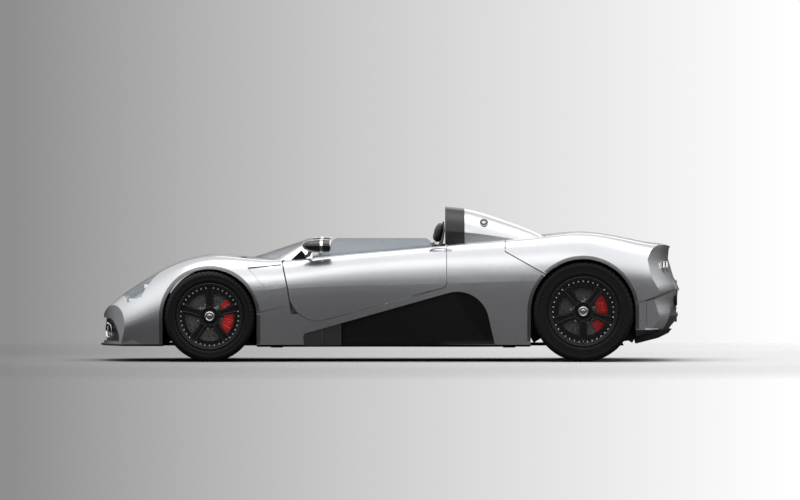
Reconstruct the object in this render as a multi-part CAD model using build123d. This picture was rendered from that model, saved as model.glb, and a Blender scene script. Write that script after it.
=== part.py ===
from build123d import *
import math
import os

# Open two-seat sports car. Millimetres, +Z up, nose towards -X, origin on the floor under the middle.
# Overall sizes
LENGTH = 4200.0
WHEELBASE = 2700.0
FRONT_OVERHANG = 795.0
WIDTH = 1890.0
HEIGHT = 1113.0
GROUND_CLEARANCE = 108.0

# Wheels: sizes named by axle
TYRE_RADIUS = {"front": 328.0, "rear": 364.0}
TYRE_WIDTH = {"front": 245.0, "rear": 325.0}
BEAD_RADIUS = {"front": 229.0, "rear": 241.0}
WHEEL_Y = {"front": 782.0, "rear": 765.0}
DISC_RADIUS = 178.0
SHOULDER_RADIUS = 34.0
ARCH_GAP = {"front": 13.0, "rear": 16.0}
LINER_GAP = 12.0
LINER_THICKNESS = 5.0
SPINDLE_RADIUS = 28.0
BEARING_CLEARANCE = 0.3
DISC_THICKNESS = 32.0
PAD_GAP = 5.0

# Shell
SKIN = 20.0
SHUT_GAP = 5.0
DOOR_FLANGE = 22.0
DOOR_STEP = 22.0
DOOR_INNER_Y = 735.0
STEERED_INSIDE_Y = 852.0
FIT = 0.3
NOSE_PLAN_RADIUS = 1800.0
TAIL_PLAN_RADIUS = 2600.0
JACK_PAD_DROP = 6.0
# Reach of a cutting box that is larger than the car in every direction
FAR = 4000.0

FRONT_AXLE_X = -LENGTH / 2 + FRONT_OVERHANG
REAR_AXLE_X = FRONT_AXLE_X + WHEELBASE
NOSE_X = -LENGTH / 2 + 20.0
TAIL_X = LENGTH / 2
AXLE_X = {"front": FRONT_AXLE_X, "rear": REAR_AXLE_X}
ARCH_RADIUS = {axle: TYRE_RADIUS[axle] + ARCH_GAP[axle] for axle in TYRE_RADIUS}

# The drawing that the side and plan outlines were taken from has these lengths; at() carries a drawn point
# to the car, so an outline follows its own axle or overhang when a driving size changes.
DRAWN_NOSE, DRAWN_FRONT, DRAWN_REAR, DRAWN_TAIL = -2100.0, -1305.0, 1395.0, 2100.0
DRAWN_WIDTH = 1890.0
DRAWN_HEIGHT = 1113.0
DRAWN_CLEARANCE = 108.0


def x_at(x):
    """Drawn length position to the car's."""
    if x < DRAWN_FRONT:
        return FRONT_AXLE_X - (DRAWN_FRONT - x) * FRONT_OVERHANG / (DRAWN_FRONT - DRAWN_NOSE)
    if x < DRAWN_REAR:
        return FRONT_AXLE_X + (x - DRAWN_FRONT) * WHEELBASE / (DRAWN_REAR - DRAWN_FRONT)
    return REAR_AXLE_X + (x - DRAWN_REAR) * (TAIL_X - REAR_AXLE_X) / (DRAWN_TAIL - DRAWN_REAR)


def y_at(y):
    return y * WIDTH / DRAWN_WIDTH


def z_at(z):
    """Drawn height to the car's: the clearance and the height above it can each change."""
    scale = (HEIGHT - GROUND_CLEARANCE) / (DRAWN_HEIGHT - DRAWN_CLEARANCE)
    return GROUND_CLEARANCE + (z - DRAWN_CLEARANCE) * scale


# Body stations, drawn sizes. Columns: x, centre height, crest y, crest height, half width, height of the
# widest line, half width at the bottom, bottom height.
STATIONS = [
    (-2092, 318, 250, 320, 470, 215, 440, 118),
    (-2000, 415, 400, 430, 655, 240, 620, 116),
    (-1850, 510, 550, 537, 790, 300, 745, 114),
    (-1600, 625, 655, 681, 893, 400, 850, 112),
    (-1305, 715, 715, 760, 930, 480, 890, 110),
    (-900, 752, 765, 733, 905, 520, 850, 108),
    (-450, 760, 785, 762, 884, 545, 800, 108),
    (100, 830, 790, 811, 884, 558, 790, 108),
    (650, 884, 792, 861, 908, 575, 815, 108),
    (1050, 886, 795, 897, 935, 588, 850, 110),
    (1395, 872, 785, 926, 945, 600, 875, 112),
    (1750, 836, 735, 875, 925, 600, 850, 130),
    (1930, 824, 700, 845, 893, 580, 800, 150),
    (2120, 838, 640, 868, 835, 560, 740, 170),
]


def bezier_wire_points(row, inset):
    """Right half of a section as cubic control points from the centre top to the bottom corner."""
    x, centre, crest_y, crest, half, widest, low_half, low = row
    x = x_at(x)
    top = z_at(centre) - inset
    yf, zf = y_at(crest_y), z_at(crest) - inset
    w, zw = y_at(half) - inset, z_at(widest)
    wb = y_at(low_half) - inset
    zb = z_at(low) if inset == 0 else z_at(low) - 60.0
    hood = [(0, top), (0.45 * yf, top), (0.62 * yf, zf), (yf, zf)]
    shoulder = [(yf, zf), (yf + 0.62 * (w - yf), zf), (w, zw + 0.52 * (zf - zw)), (w, zw)]
    flank = [(w, zw), (w, zw - 0.42 * (zw - zb)), (wb + 0.25 * (w - wb), zb + 0.32 * (zw - zb)), (wb, zb)]
    return x, [hood, shoulder, flank]


def section(row, inset):
    """One closed cross-section of the body as a wire of Bezier curves and a flat bottom."""
    x, curves = bezier_wire_points(row, inset)
    right = [Bezier(*[(x, y, z) for y, z in c]) for c in curves]
    left = [Bezier(*[(x, -y, z) for y, z in reversed(c)]) for c in reversed(curves)]
    wb, zb = curves[-1][-1]
    bottom = Line((x, wb, zb), (x, -wb, zb))
    return Wire([*right, bottom, *left])


def rounded_face(corners, radii):
    """Face in the XZ plane with straight sides and rounded corners; radii has one value for each corner."""
    pts = [Vector(x, 0, z) for x, z in corners]
    n = len(pts)
    ends = []
    for i, p in enumerate(pts):
        a, b = pts[i - 1] - p, pts[(i + 1) % n] - p
        half = math.radians(a.get_angle(b)) / 2
        r = radii[i]
        if r == 0:
            ends.append((p, None, p))
            continue
        t = r / math.tan(half)
        a, b = a.normalized(), b.normalized()
        mid = p + (a + b).normalized() * (r / math.sin(half) - r)
        ends.append((p + a * t, mid, p + b * t))
    edges = []
    for i, (start, mid, end) in enumerate(ends):
        if mid is not None:
            edges.append(ThreePointArc(start, mid, end))
        following = ends[(i + 1) % n][0]
        if (following - end).length > 1e-6:
            edges.append(Line(end, following))
    return Face(Wire(edges))


def side_prism(corners, radii=None, y0=-1200.0, y1=1200.0):
    """Solid between two lengthwise planes with a side-view outline; corners are car coordinates."""
    face = rounded_face(corners, radii or [0] * len(corners))
    return extrude(face.moved(Location((0, y0, 0))), amount=y1 - y0, dir=(0, 1, 0))


def plan_prism(corners, z0, z1):
    face = Face(Wire.make_polygon([Vector(x, y, z0) for x, y in corners], close=True))
    return extrude(face, amount=z1 - z0, dir=(0, 0, 1))


def block(x0, x1, y0, y1, z0, z1):
    return Pos((x0 + x1) / 2, (y0 + y1) / 2, (z0 + z1) / 2) * Box(x1 - x0, y1 - y0, z1 - z0)


def both_sides(shape):
    """A shape at the left and its mirror image at the right."""
    return [shape, mirror(shape, about=Plane.XZ)]


def save(name, *shapes):
    solids = [s for shape in shapes for s in shape.solids()]
    export_step(Compound(children=solids) if len(solids) > 1 else solids[0], f"parts/{name}.step")
    print(name, len(solids), round(sum(s.volume for s in solids) / 1e6, 1), "litres")


os.makedirs("parts", exist_ok=True)


def body_mass(inset):
    """The whole body as one solid, its skin taken off by inset: the loft with curved nose and tail faces."""
    mass = Solid.make_loft([section(row, inset) for row in STATIONS])
    nose_radius, tail_radius = NOSE_PLAN_RADIUS, TAIL_PLAN_RADIUS
    axis_x = NOSE_X + nose_radius
    ahead = block(NOSE_X - 100, axis_x, -1100, 1100, -50, 1200)
    ahead -= Pos(axis_x, 0, 575) * Cylinder(nose_radius - inset, 1300)
    # Tail side profile, drawn (x, z), from the lip down: lip, hollow, widest point, black lower part
    profile = [(2031, 990), (2031, 862), (2040, 842), (2024, 806), (2018, 737), (2056, 610), (2100, 520),
               (2069, 448), (2083, 361), (2092, 329), (2072, 289), (2022, 228), (1949, 192), (1805, 155),
               (1696, 137), (1500, 60)]
    axis_tail = x_at(DRAWN_TAIL) - tail_radius
    face = Face(Wire.make_polygon([Vector(axis_tail, 0, z_at(990)),
                                   *[Vector(x_at(x) - inset, 0, z_at(z)) for x, z in profile],
                                   Vector(axis_tail, 0, z_at(60))], close=True))
    inside = revolve(face, Axis((axis_tail, 0, 0), (0, 0, 1)), 360)
    behind = block(x_at(1520), TAIL_X + 200, -1100, 1100, -50, 1200) - inside
    return mass - ahead - behind


def drawn(points):
    """Outline points from the drawing, (x, z), carried to the car."""
    return [(x_at(x), z_at(z)) for x, z in points]


def rod(start, end, radius):
    """Round bar between two points."""
    start, end = Vector(*start), Vector(*end)
    return Solid.make_cylinder(radius, (end - start).length, Plane(start, z_dir=end - start))


def turned(outline, radii=None):
    """Solid turned about the wheel axis from an outline of (sideways, radius) corners."""
    face = rounded_face(outline, radii or [0] * len(outline))
    return revolve(face.moved(Rot(0, 0, 90)), Axis.Y, 360)


def disc(radius, y0, y1):
    """Round plate across the wheel axis."""
    return rod((0, y0, 0), (0, y1, 0), radius)


# Places that several panels share, drawn (x, z)
DOOR_FRONT_TOP = (-818, 917)
DOOR_FRONT_FOOT = (-679, 247)
DOOR_REAR_FOOT = (405, 545)
DOOR_CORNER_RADII = (202.0, 36.0)
SPLIT_AT_ARCH = (-990, 344)
SPLIT_AT_DOOR = (-714, 419)
CLAM_DECK_X = 829
CLAM_SIDE = [(829, 795), (1126, 629)]
CLAM_LOW = [(1740, 408), (2200, 560)]
DECK_FRONT_X = 470
DECK_REAR_X = 1125
DECK_HALF_WIDTH = 612.0
TUB_HALF_WIDTH = 700.0

outer = body_mass(0)
inner = body_mass(SKIN)
shell = outer - inner


# Wheel arches and their liners
def arch_cutter(axle, radius, y_inner, y_outer=FAR):
    x, z = AXLE_X[axle], TYRE_RADIUS[axle]
    upper = rod((x, y_inner, z), (x, y_outer, z), radius)
    return upper + block(x - radius, x + radius, y_inner, y_outer, -60, z)


arches = []
for axle, y_inner in (("front", 495.0), ("rear", 570.0)):
    for cutter in both_sides(arch_cutter(axle, ARCH_RADIUS[axle], y_inner)):
        arches.append(cutter)
# Doors: the whole wall between the skin and the cockpit, hinged at the front on two pins
HINGE_X = x_at(-642)
HINGE_Y = y_at(889) - 28.0
HINGE_HEIGHTS = (430.0, 600.0)
HINGE_PIN_RADIUS = 6.0
HINGE_ARM = 10.0
DOOR_OPEN = 60.0
DOOR_NOSE = {"low": (457.0, 92.0), "high": (740.0, 141.0)}
NOSE_CLEARANCE = 5.0


def door_outline(gap):
    """Door seen from the side; a gap above zero gives the opening around it."""
    front_top, front_foot, rear_foot = drawn([DOOR_FRONT_TOP, DOOR_FRONT_FOOT, DOOR_REAR_FOOT])
    corners = [(front_top[0] - gap, 1300), (front_top[0] - gap, front_top[1]),
               (front_foot[0] - gap, front_foot[1] - gap),
               (rear_foot[0] + gap, rear_foot[1] - gap), (rear_foot[0] + gap, 1300)]
    return corners, [0, 0, DOOR_CORNER_RADII[0] + gap, DOOR_CORNER_RADII[1] + gap, 0]


def hinge_nose(clearance):
    """Cone about the left hinge axis that the front end of the door turns inside."""
    (z0, r0), (z1, r1) = DOOR_NOSE["low"], DOOR_NOSE["high"]
    slope = (r1 - r0) / (z1 - z0)
    bottom, top = 200.0, 900.0
    low_radius = r0 + (bottom - z0) * slope + clearance
    high_radius = r0 + (top - z0) * slope + clearance
    return Pos(HINGE_X, -HINGE_Y, (bottom + top) / 2) * Cone(low_radius, high_radius, top - bottom)


def unit(degrees):
    return math.cos(math.radians(degrees)), -math.sin(math.radians(degrees))


# The fixed arm reaches the pin from inboard; the door's pocket leaves it free while the door turns
ARM_DIRECTION = 262.0


def hinge_pocket(height):
    reach, half = 190.0, HINGE_ARM + NOSE_CLEARANCE
    corners = []
    swung = ARM_DIRECTION - DOOR_OPEN
    for direction, side, distance in ((ARM_DIRECTION, 90, 0), (ARM_DIRECTION, 90, reach),
                                      (ARM_DIRECTION - DOOR_OPEN / 2, 0, reach * 1.3),
                                      (swung, -90, reach), (swung, -90, 0)):
        dx, dy = unit(direction)
        sx, sy = unit(direction + side)
        offset = half if side else 0
        corners.append((HINGE_X + dx * distance + sx * offset, -HINGE_Y + dy * distance + sy * offset))
    tall = HINGE_ARM + NOSE_CLEARANCE
    pocket = plan_prism(corners, height - tall, height + tall)
    return pocket + rod((HINGE_X, -HINGE_Y, height - tall), (HINGE_X, -HINGE_Y, height + tall), half)


corners, radii = door_outline(0)
door = outer & side_prism(corners, radii, -FAR, -DOOR_INNER_Y)
# Behind its outer flange the thick wall is smaller all round, so that it swings out past the sill
step_corners, step_radii = door_outline(-DOOR_STEP)
rebate = side_prism(corners, radii, -FAR, 0) - side_prism(step_corners, step_radii, -FAR, 0)
door -= rebate & outer.moved(Location((0, DOOR_FLANGE, 0)))
ahead_of_hinge = block(-FAR, HINGE_X, -FAR, -600, 0, FAR)
hinge_zone = block(-FAR, HINGE_X + 160, -FAR, -600, 345, 1000)
door = (door - ahead_of_hinge) + (door & ahead_of_hinge & hinge_nose(0))
for height in HINGE_HEIGHTS:
    door -= hinge_pocket(height)
pin_length = 30.0
pins = []
for height in HINGE_HEIGHTS:
    pin_ends = [(HINGE_X, -HINGE_Y, height + sign * (HINGE_ARM + pin_length)) for sign in (-1, 1)]
    door -= rod(*pin_ends, HINGE_PIN_RADIUS + FIT)
    dx, dy = unit(ARM_DIRECTION)
    length = abs((HINGE_Y - TUB_HALF_WIDTH) / dy)
    arm_end = (HINGE_X + dx * length, -TUB_HALF_WIDTH - FIT, height)
    arm = rod((HINGE_X, -HINGE_Y, height), arm_end, HINGE_ARM)
    arm &= block(-FAR, FAR, -FAR, -TUB_HALF_WIDTH - FIT, 0, FAR)
    pin = rod((HINGE_X, -HINGE_Y, height - HINGE_ARM - pin_length + 2),
              (HINGE_X, -HINGE_Y, height + HINGE_ARM + pin_length - 2), HINGE_PIN_RADIUS)
    pins.append(arm + pin)
for name, piece in zip(("left", "right"), both_sides(door)):
    save(f"door_{name}", piece)
save("door_hinges", *[side for pin in pins for side in both_sides(pin)])

# Centre body: sills, rear quarters and the deck behind the seats
centre_side = drawn([SPLIT_AT_ARCH, SPLIT_AT_DOOR, (-500, 620), (380, 900)]) + [
    (x_at(405), 1300), (x_at(CLAM_DECK_X), 1300)] + drawn(CLAM_SIDE) + [(x_at(1126), -50), (x_at(-990), -50)]
quarter = outer & side_prism(centre_side, None, -FAR, -TUB_HALF_WIDTH - FIT)
door_gap_corners, door_gap_radii = door_outline(SHUT_GAP)
door_gap_prism = side_prism(door_gap_corners, door_gap_radii)
quarter -= door_gap_prism
quarter -= hinge_nose(NOSE_CLEARANCE) & hinge_zone
for cutter in arches:
    quarter -= cutter
# Inside the skin the front arch is as deep as its liner, for the steered tyre
inside_arch = ARCH_RADIUS["front"] + LINER_GAP
quarter -= mirror(arch_cutter("front", inside_arch, 495.0, STEERED_INSIDE_Y), about=Plane.XZ)

# Side intake: a black recess under the door, with its liner set back from the skin
INTAKE_DEPTH = 45.0
INTAKE_SIDE = [(-623, 116), (-629, 181), (-619, 204), (655, 565), (757, 126)]
INTAKE_RADII = [0, 0, 12, 231, 0]
intake_prism = side_prism(drawn(INTAKE_SIDE), INTAKE_RADII)
sunk = outer.moved(Location((0, INTAKE_DEPTH, 0)))
# Two steps at the front of the recess; columns: drawn rear edge, depth below the skin
INTAKE_STEPS = [(-485, 18.0), (-356, 31.0)]
quarter -= intake_prism & block(-FAR, FAR, -FAR, -TUB_HALF_WIDTH - 40, 0, FAR)
behind_panel = block(-FAR, FAR, -FAR, -TUB_HALF_WIDTH - 40 - FIT, 0, FAR)
intake_panel = sunk & intake_prism & behind_panel
for rear_edge, depth in INTAKE_STEPS:
    step_zone = intake_prism & behind_panel & block(-FAR, x_at(rear_edge), -FAR, 0, 0, FAR)
    intake_panel += outer.moved(Location((0, depth, 0))) & step_zone
# Pads under the sills for a lift or a jack
JACK_X = (x_at(-820), x_at(860))
for x in JACK_X:
    quarter += block(x - 45, x + 45, -785, -715, GROUND_CLEARANCE - JACK_PAD_DROP, GROUND_CLEARANCE + 12)
deck_zone = block(x_at(DECK_FRONT_X), x_at(CLAM_DECK_X), -TUB_HALF_WIDTH - 1, TUB_HALF_WIDTH + 1, 400, 1200)
deck_zone += block(x_at(CLAM_DECK_X) - 1, x_at(DECK_REAR_X), -DECK_HALF_WIDTH, DECK_HALF_WIDTH, 400, 1200)
deck = shell & deck_zone
centre_body = deck
for side in both_sides(quarter):
    centre_body += side
save("centre_body", centre_body)

# Liners close the arches inside the skin
CLAM_CLEARANCE = 12.0
liners = []
for axle, y_inner, drop, foot in (("front", 505.0, FIT, 60.0), ("rear", 580.0, CLAM_CLEARANCE, 120.0)):
    x, z = AXLE_X[axle], TYRE_RADIUS[axle]
    low = ARCH_RADIUS[axle] + LINER_GAP
    ring = rod((x, -y_inner, z), (x, -FAR, z), low + LINER_THICKNESS) - rod((x, 0, z), (x, -FAR, z), low)
    ring -= block(x - 500, x + 500, -FAR, 0, -200, z + foot)
    ring = ring & inner.moved(Location((0, 0, -drop))) & inner.moved(Location((0, drop, 0)))
    ring -= quarter
    liners += both_sides(ring)
save("wheel_liners", *liners)
save("side_intakes", *both_sides(intake_panel))

LID_PIN_RADIUS, LID_EAR, LID_LUG_HALF, LID_EAR_WIDTH = 7.0, 12.0, 7.0, 10.0


def across(x, z, y0, y1, radius):
    """Round bar across the car."""
    return rod((x, y0, z), (x, y1, z), radius)


# Front: fixed wings and nose, and the lid between them
LID_FRONT_X, LID_REAR_X = -1900, -1085
LID_HALF_FRONT, LID_HALF_REAR = 400.0, 480.0
TROUGH_WIDTH = 42.0
LID_HINGE_DEPTH = 24.0
LID_HINGE_X = x_at(LID_REAR_X) + 10.0
front_side = [(-FAR, 1300), (x_at(-818) - 30, 1300)] + drawn([(-818, 1100), DOOR_FRONT_TOP, SPLIT_AT_DOOR])
front_side += [(x_at(SPLIT_AT_ARCH[0]), z_at(SPLIT_AT_ARCH[1]) + SHUT_GAP), (x_at(-990), -50), (-FAR, -50)]
front = shell & side_prism(front_side)
front -= door_gap_prism
lid_hinge_z = z_at(738) - LID_HINGE_DEPTH


def lid_outline(gap):
    front_x, rear_x = x_at(LID_FRONT_X) - gap, x_at(LID_REAR_X) + (TROUGH_WIDTH if gap else 0)
    return [(front_x, -LID_HALF_FRONT - gap), (rear_x, -LID_HALF_REAR - gap), (rear_x, LID_HALF_REAR + gap),
            (front_x, LID_HALF_FRONT + gap)]


lid_reach = math.hypot(LID_HINGE_X - x_at(LID_FRONT_X), lid_hinge_z - z_at(470))
lid_swing = rod((LID_HINGE_X, -700, lid_hinge_z), (LID_HINGE_X, 700, lid_hinge_z), lid_reach)
bonnet = shell & plan_prism(lid_outline(0), 300, 1000) & lid_swing
front -= plan_prism(lid_outline(SHUT_GAP), 300, 1000)
front -= rod((LID_HINGE_X, -LID_HALF_FRONT, lid_hinge_z), (LID_HINGE_X, LID_HALF_FRONT, lid_hinge_z),
             lid_reach + SHUT_GAP) & block(x_at(LID_FRONT_X) - 60, x_at(-1700), -700, 700, 350, 900)
# The cockpit opening follows the foot of the windscreen
SCREEN_FOOT = [(-770, 700), (-925, 430), (-1013, 0)]
foot = [(x_at(x), y_at(y)) for x, y in SCREEN_FOOT]
opening = [(x_at(-600), -760.0), (x_at(-752), -760.0)] + [(x, -y) for x, y in foot] + foot[-2::-1]
opening += [(x_at(-752), 760.0), (x_at(-600), 760.0)]
front -= plan_prism(opening, 500, 1000)
for nose in both_sides(hinge_nose(NOSE_CLEARANCE) & hinge_zone):
    front -= nose
for cutter in arches:
    front -= cutter

# Vent behind the front wheel: a wedge cut into the wing, deepest at its front edge and flush at the door
VENT_SIDE = [(-1035, 683), (-788, 703), (-735, 600), (-735, 538), (-868, 517), (-905, 535)]
VENT_RADII = [3, 0, 0, 0, 20, 20]
VENT_ANGLE = 3.0
vent_edge = Axis((x_at(VENT_SIDE[3][0]), -y_at(905), 0), (0, 0, 1))
vent = side_prism(drawn(VENT_SIDE), VENT_RADII, -FAR, -600) & outer
vent -= outer.rotate(vent_edge, -VENT_ANGLE)
for cut in both_sides(vent):
    front -= cut

# Nose insert: a dark intake panel set back across the nose, with an oval lamp at each side
INSERT_SIDE = [(-2300, 311), (-2024, 311), (-2003, 289), (-1981, 246), (-1952, 152), (-1950, 145), (-2300, 145)]
PANEL_SIDE = [(-2300, 324), (-2020, 324), (-1975, 270), (-1940, 138), (-2300, 138)]
INSERT_THICKNESS = 16.0
INSERT_HALF, PANEL_HALF = 640.0, 625.0
insert_prism = side_prism(drawn(INSERT_SIDE), None, -INSERT_HALF, INSERT_HALF)
front -= insert_prism
set_back = inner.moved(Location((FIT, 0, 0)))
nose_insert = set_back - inner.moved(Location((FIT + INSERT_THICKNESS, 0, 0)))
nose_insert &= side_prism(drawn(PANEL_SIDE), None, -PANEL_HALF, PANEL_HALF)

# Splitter: a thin black plate under the nose that stands out ahead of it
SPLITTER_LIP = 20.0
SPLITTER_THICKNESS = 14.0
SPLITTER_HALF_WIDTH = 780.0
SPLITTER_REAR_X = -1640
splitter_axis = NOSE_X + NOSE_PLAN_RADIUS
plate_low = GROUND_CLEARANCE + 4.0
plate_high = plate_low + SPLITTER_THICKNESS
lip_radius = NOSE_PLAN_RADIUS + SPLITTER_LIP
splitter = rod((splitter_axis, 0, plate_low), (splitter_axis, 0, plate_high), lip_radius)
splitter &= block(-FAR, x_at(SPLITTER_REAR_X), -SPLITTER_HALF_WIDTH, SPLITTER_HALF_WIDTH, 0, 200)
front -= block(-FAR, x_at(SPLITTER_REAR_X) + 4, -FAR, FAR, 0, plate_high + FIT)

# Lamps on the wing tops: a clear cover flush with the skin over a pan with two projector lamps
LAMP_PLAN = [(-1945, 470), (-1900, 700), (-1800, 775), (-1585, 640), (-1700, 520)]
LAMP_FIT = 1.002
COVER_THICKNESS = 5.0
PAN_DEPTH = 56.0
PAN_THICKNESS = 6.0
# Projector lamps in the pan; columns: drawn x, y and z of the centre
PROJECTORS = [(-1862, 605, 424.0), (-1752, 640, 526.0)]
PROJECTOR_RADIUS = 34.0
PROJECTOR_LENGTH = 56.0
lamp_zone = [(x_at(x), -y_at(y)) for x, y in LAMP_PLAN]
lamp_centre = (sum(p[0] for p in lamp_zone) / len(lamp_zone), sum(p[1] for p in lamp_zone) / len(lamp_zone))


def lamp_prism(scale):
    """The lamp's outline seen from above, grown about its middle."""
    grown = [(lamp_centre[0] + (x - lamp_centre[0]) * scale, lamp_centre[1] + (y - lamp_centre[1]) * scale)
             for x, y in lamp_zone]
    return plan_prism(grown, 350, 1000)


def sunk_skin(depth):
    """The body moved in below the left lamp, square to the skin there."""
    return outer.moved(Location((depth * 0.4, depth * 0.4, -depth)))


lamp_cover = (outer - sunk_skin(COVER_THICKNESS)) & lamp_prism(1.0)
for hole in both_sides(lamp_prism(LAMP_FIT)):
    front -= hole
under_skin = inner.moved(Location((0, 0, -FIT))) - sunk_skin(PAN_DEPTH + PAN_THICKNESS)
lamp_pan = (lamp_prism(1.04) & under_skin) - (lamp_prism(1.012) & sunk_skin(-5) - sunk_skin(PAN_DEPTH))
for x, y, z in PROJECTORS:
    start = (x_at(x) - PROJECTOR_LENGTH / 2, -y_at(y), z_at(z))
    lamp_pan += rod(start, (start[0] + PROJECTOR_LENGTH, start[1], start[2]), PROJECTOR_RADIUS)
    lens_end = (start[0] + 10, start[1], start[2])
    lamp_pan -= rod((start[0] - 1, start[1], start[2]), lens_end, PROJECTOR_RADIUS - 6)
# Front lid hinges, with the same pins; their ears stand on the bulkhead
LID_PIN_Y = 300.0
lid_ears = []
for sign in (-1, 1):
    y_mid = sign * LID_PIN_Y
    y_out = LID_LUG_HALF + FIT + LID_EAR_WIDTH
    lug = across(LID_HINGE_X, lid_hinge_z, y_mid - LID_LUG_HALF, y_mid + LID_LUG_HALF, LID_EAR - 1)
    lug_body = block(LID_HINGE_X - 50, LID_HINGE_X - 6, y_mid - LID_LUG_HALF, y_mid + LID_LUG_HALF,
                     lid_hinge_z - 9, lid_hinge_z + 40)
    lug += lug_body & outer.moved(Location((0, 0, -SKIN / 2)))
    bonnet += lug
    bonnet -= across(LID_HINGE_X, lid_hinge_z, y_mid - 20, y_mid + 20, LID_PIN_RADIUS + FIT)
    ears = across(LID_HINGE_X, lid_hinge_z, y_mid - y_out, y_mid + y_out, LID_PIN_RADIUS)
    for y_ear in (y_mid - y_out, y_mid + y_out - LID_EAR_WIDTH):
        ears += across(LID_HINGE_X, lid_hinge_z, y_ear, y_ear + LID_EAR_WIDTH, LID_EAR - 2)
        ear_end, ear_top = y_ear + LID_EAR_WIDTH, lid_hinge_z + 2
        ears += block(LID_HINGE_X, x_at(-1020), y_ear, ear_end, lid_hinge_z - 10, ear_top)
        ears += block(x_at(-1040), x_at(-1020), y_ear, ear_end, z_at(640), ear_top)
    lid_ears.append(ears)
save("front_wings", front)
save("bonnet", bonnet)
save("splitter", splitter)
save("headlamp_covers", *both_sides(lamp_cover))
save("headlamp_bowls", *both_sides(lamp_pan))

# Rear: the lid over engine and rear wheels, the bumper and the black lower part
CLAM_HINGE_X = TAIL_X - 15.0
CLAM_HINGE_Z = z_at(519)
CLAM_PIN_Y = 250.0
CLAM_RELIEF = 20.0
clam_side = [(x_at(CLAM_DECK_X) + SHUT_GAP, 1300)]
clam_side += [(x_at(x) + SHUT_GAP, z_at(z) + SHUT_GAP) for x, z in CLAM_SIDE]
clam_side += [(AXLE_X["rear"], TYRE_RADIUS["rear"] + 150.0)]
clam_side += [(x_at(x), z_at(z) + SHUT_GAP) for x, z in CLAM_LOW] + [(x_at(2200), 1300)]
clam = shell & side_prism(clam_side)
deck_side = DECK_HALF_WIDTH + SHUT_GAP
clam -= block(0, x_at(DECK_REAR_X) + SHUT_GAP, -deck_side, deck_side, 300, 1300)
for cutter in arches:
    clam -= cutter
rear_low = drawn([(1700, 231), (1985, 231), (1985, 246), (2007, 289), (2036, 361), (2067, 433), (2250, 433)])
bumper_side = rear_low + drawn([(2250, 576), (1700, 395)])
bumper = shell & side_prism(bumper_side)
for cutter in arches:
    bumper -= cutter
hinge_relief = rod((CLAM_HINGE_X, -330, CLAM_HINGE_Z), (CLAM_HINGE_X, 330, CLAM_HINGE_Z), CLAM_RELIEF)
bumper -= hinge_relief
lower_side = [(x_at(1700), -50), (x_at(1700), z_at(231) - FIT)]
lower_side += [(x, z - FIT) for x, z in rear_low[1:]] + [(x_at(2250), -50)]
diffuser = shell & side_prism(lower_side)
for cutter in arches:
    diffuser -= cutter
# Rear lid hinges: a fixed pin between two ears on the bumper, and a lug on the lid between them
for sign in (-1, 1):
    y_mid = sign * CLAM_PIN_Y
    y_out = LID_LUG_HALF + FIT + LID_EAR_WIDTH
    room = y_out + SHUT_GAP
    clam -= across(CLAM_HINGE_X, CLAM_HINGE_Z, y_mid - room, y_mid + room, LID_EAR + SHUT_GAP + 1)
    lug = across(CLAM_HINGE_X, CLAM_HINGE_Z, y_mid - LID_LUG_HALF, y_mid + LID_LUG_HALF, LID_EAR)
    lug += block(CLAM_HINGE_X - 36, CLAM_HINGE_X - 4, y_mid - LID_LUG_HALF, y_mid + LID_LUG_HALF,
                 CLAM_HINGE_Z, CLAM_HINGE_Z + 62)
    clam += lug
    clam -= across(CLAM_HINGE_X, CLAM_HINGE_Z, y_mid - 20, y_mid + 20, LID_PIN_RADIUS + FIT)
    bumper += across(CLAM_HINGE_X, CLAM_HINGE_Z, y_mid - y_out, y_mid + y_out, LID_PIN_RADIUS)
    for y_ear in (y_mid - y_out, y_mid + y_out - LID_EAR_WIDTH):
        bumper += across(CLAM_HINGE_X, CLAM_HINGE_Z, y_ear, y_ear + LID_EAR_WIDTH, LID_EAR)
        bumper += block(CLAM_HINGE_X - 24, CLAM_HINGE_X, y_ear, y_ear + LID_EAR_WIDTH,
                        CLAM_HINGE_Z - 45, CLAM_HINGE_Z)
# Round tail lamps let into the lid; columns: drawn y and z of the centre, radius
TAIL_LAMPS = [(415, 676, 46.0), (540, 676, 46.0)]
TAIL_LAMP_PROUD, TAIL_LAMP_DEPTH = 3.0, 18.0
tail_lamps = []
for y, z, radius in TAIL_LAMPS:
    ends = ((x_at(1850), -y_at(y), z_at(z)), (TAIL_X + 100, -y_at(y), z_at(z)))
    lamp = rod(*ends, radius) & outer.moved(Location((TAIL_LAMP_PROUD, 0, 0)))
    lamp -= outer.moved(Location((-TAIL_LAMP_DEPTH, 0, 0)))
    tail_lamps += both_sides(lamp)
    for hole in both_sides(rod(*ends, radius + FIT)):
        clam -= hole
save("tail_lamps", *tail_lamps)
# Cooling slots over the engine; columns: drawn x of the first, pitch, slot length along the car, count
SLOT_FIRST_X, SLOT_PITCH, SLOT_LENGTH, SLOT_COUNT = 1190, 52, 20, 6
SLOT_Y = (70.0, 330.0)
for i in range(SLOT_COUNT):
    x0 = x_at(SLOT_FIRST_X + SLOT_PITCH * i)
    for slot in both_sides(block(x0, x0 + SLOT_LENGTH, -SLOT_Y[1], -SLOT_Y[0], z_at(700), FAR)):
        clam -= slot
save("rear_clam", clam)
save("rear_bumper", bumper)
# Upright fins under the black lower part
FIN_Y = (75.0, 235.0, 400.0, 560.0)
FIN_HALF, FIN_DROP = 4.0, 30.0
dropped = outer.moved(Location((0, 0, -FIN_DROP)))
for y in FIN_Y:
    fin = (block(x_at(1780), x_at(2075), -y - FIN_HALF, -y + FIN_HALF, 0, z_at(228)) & dropped) - inner
    for piece in both_sides(fin):
        diffuser += piece


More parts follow.
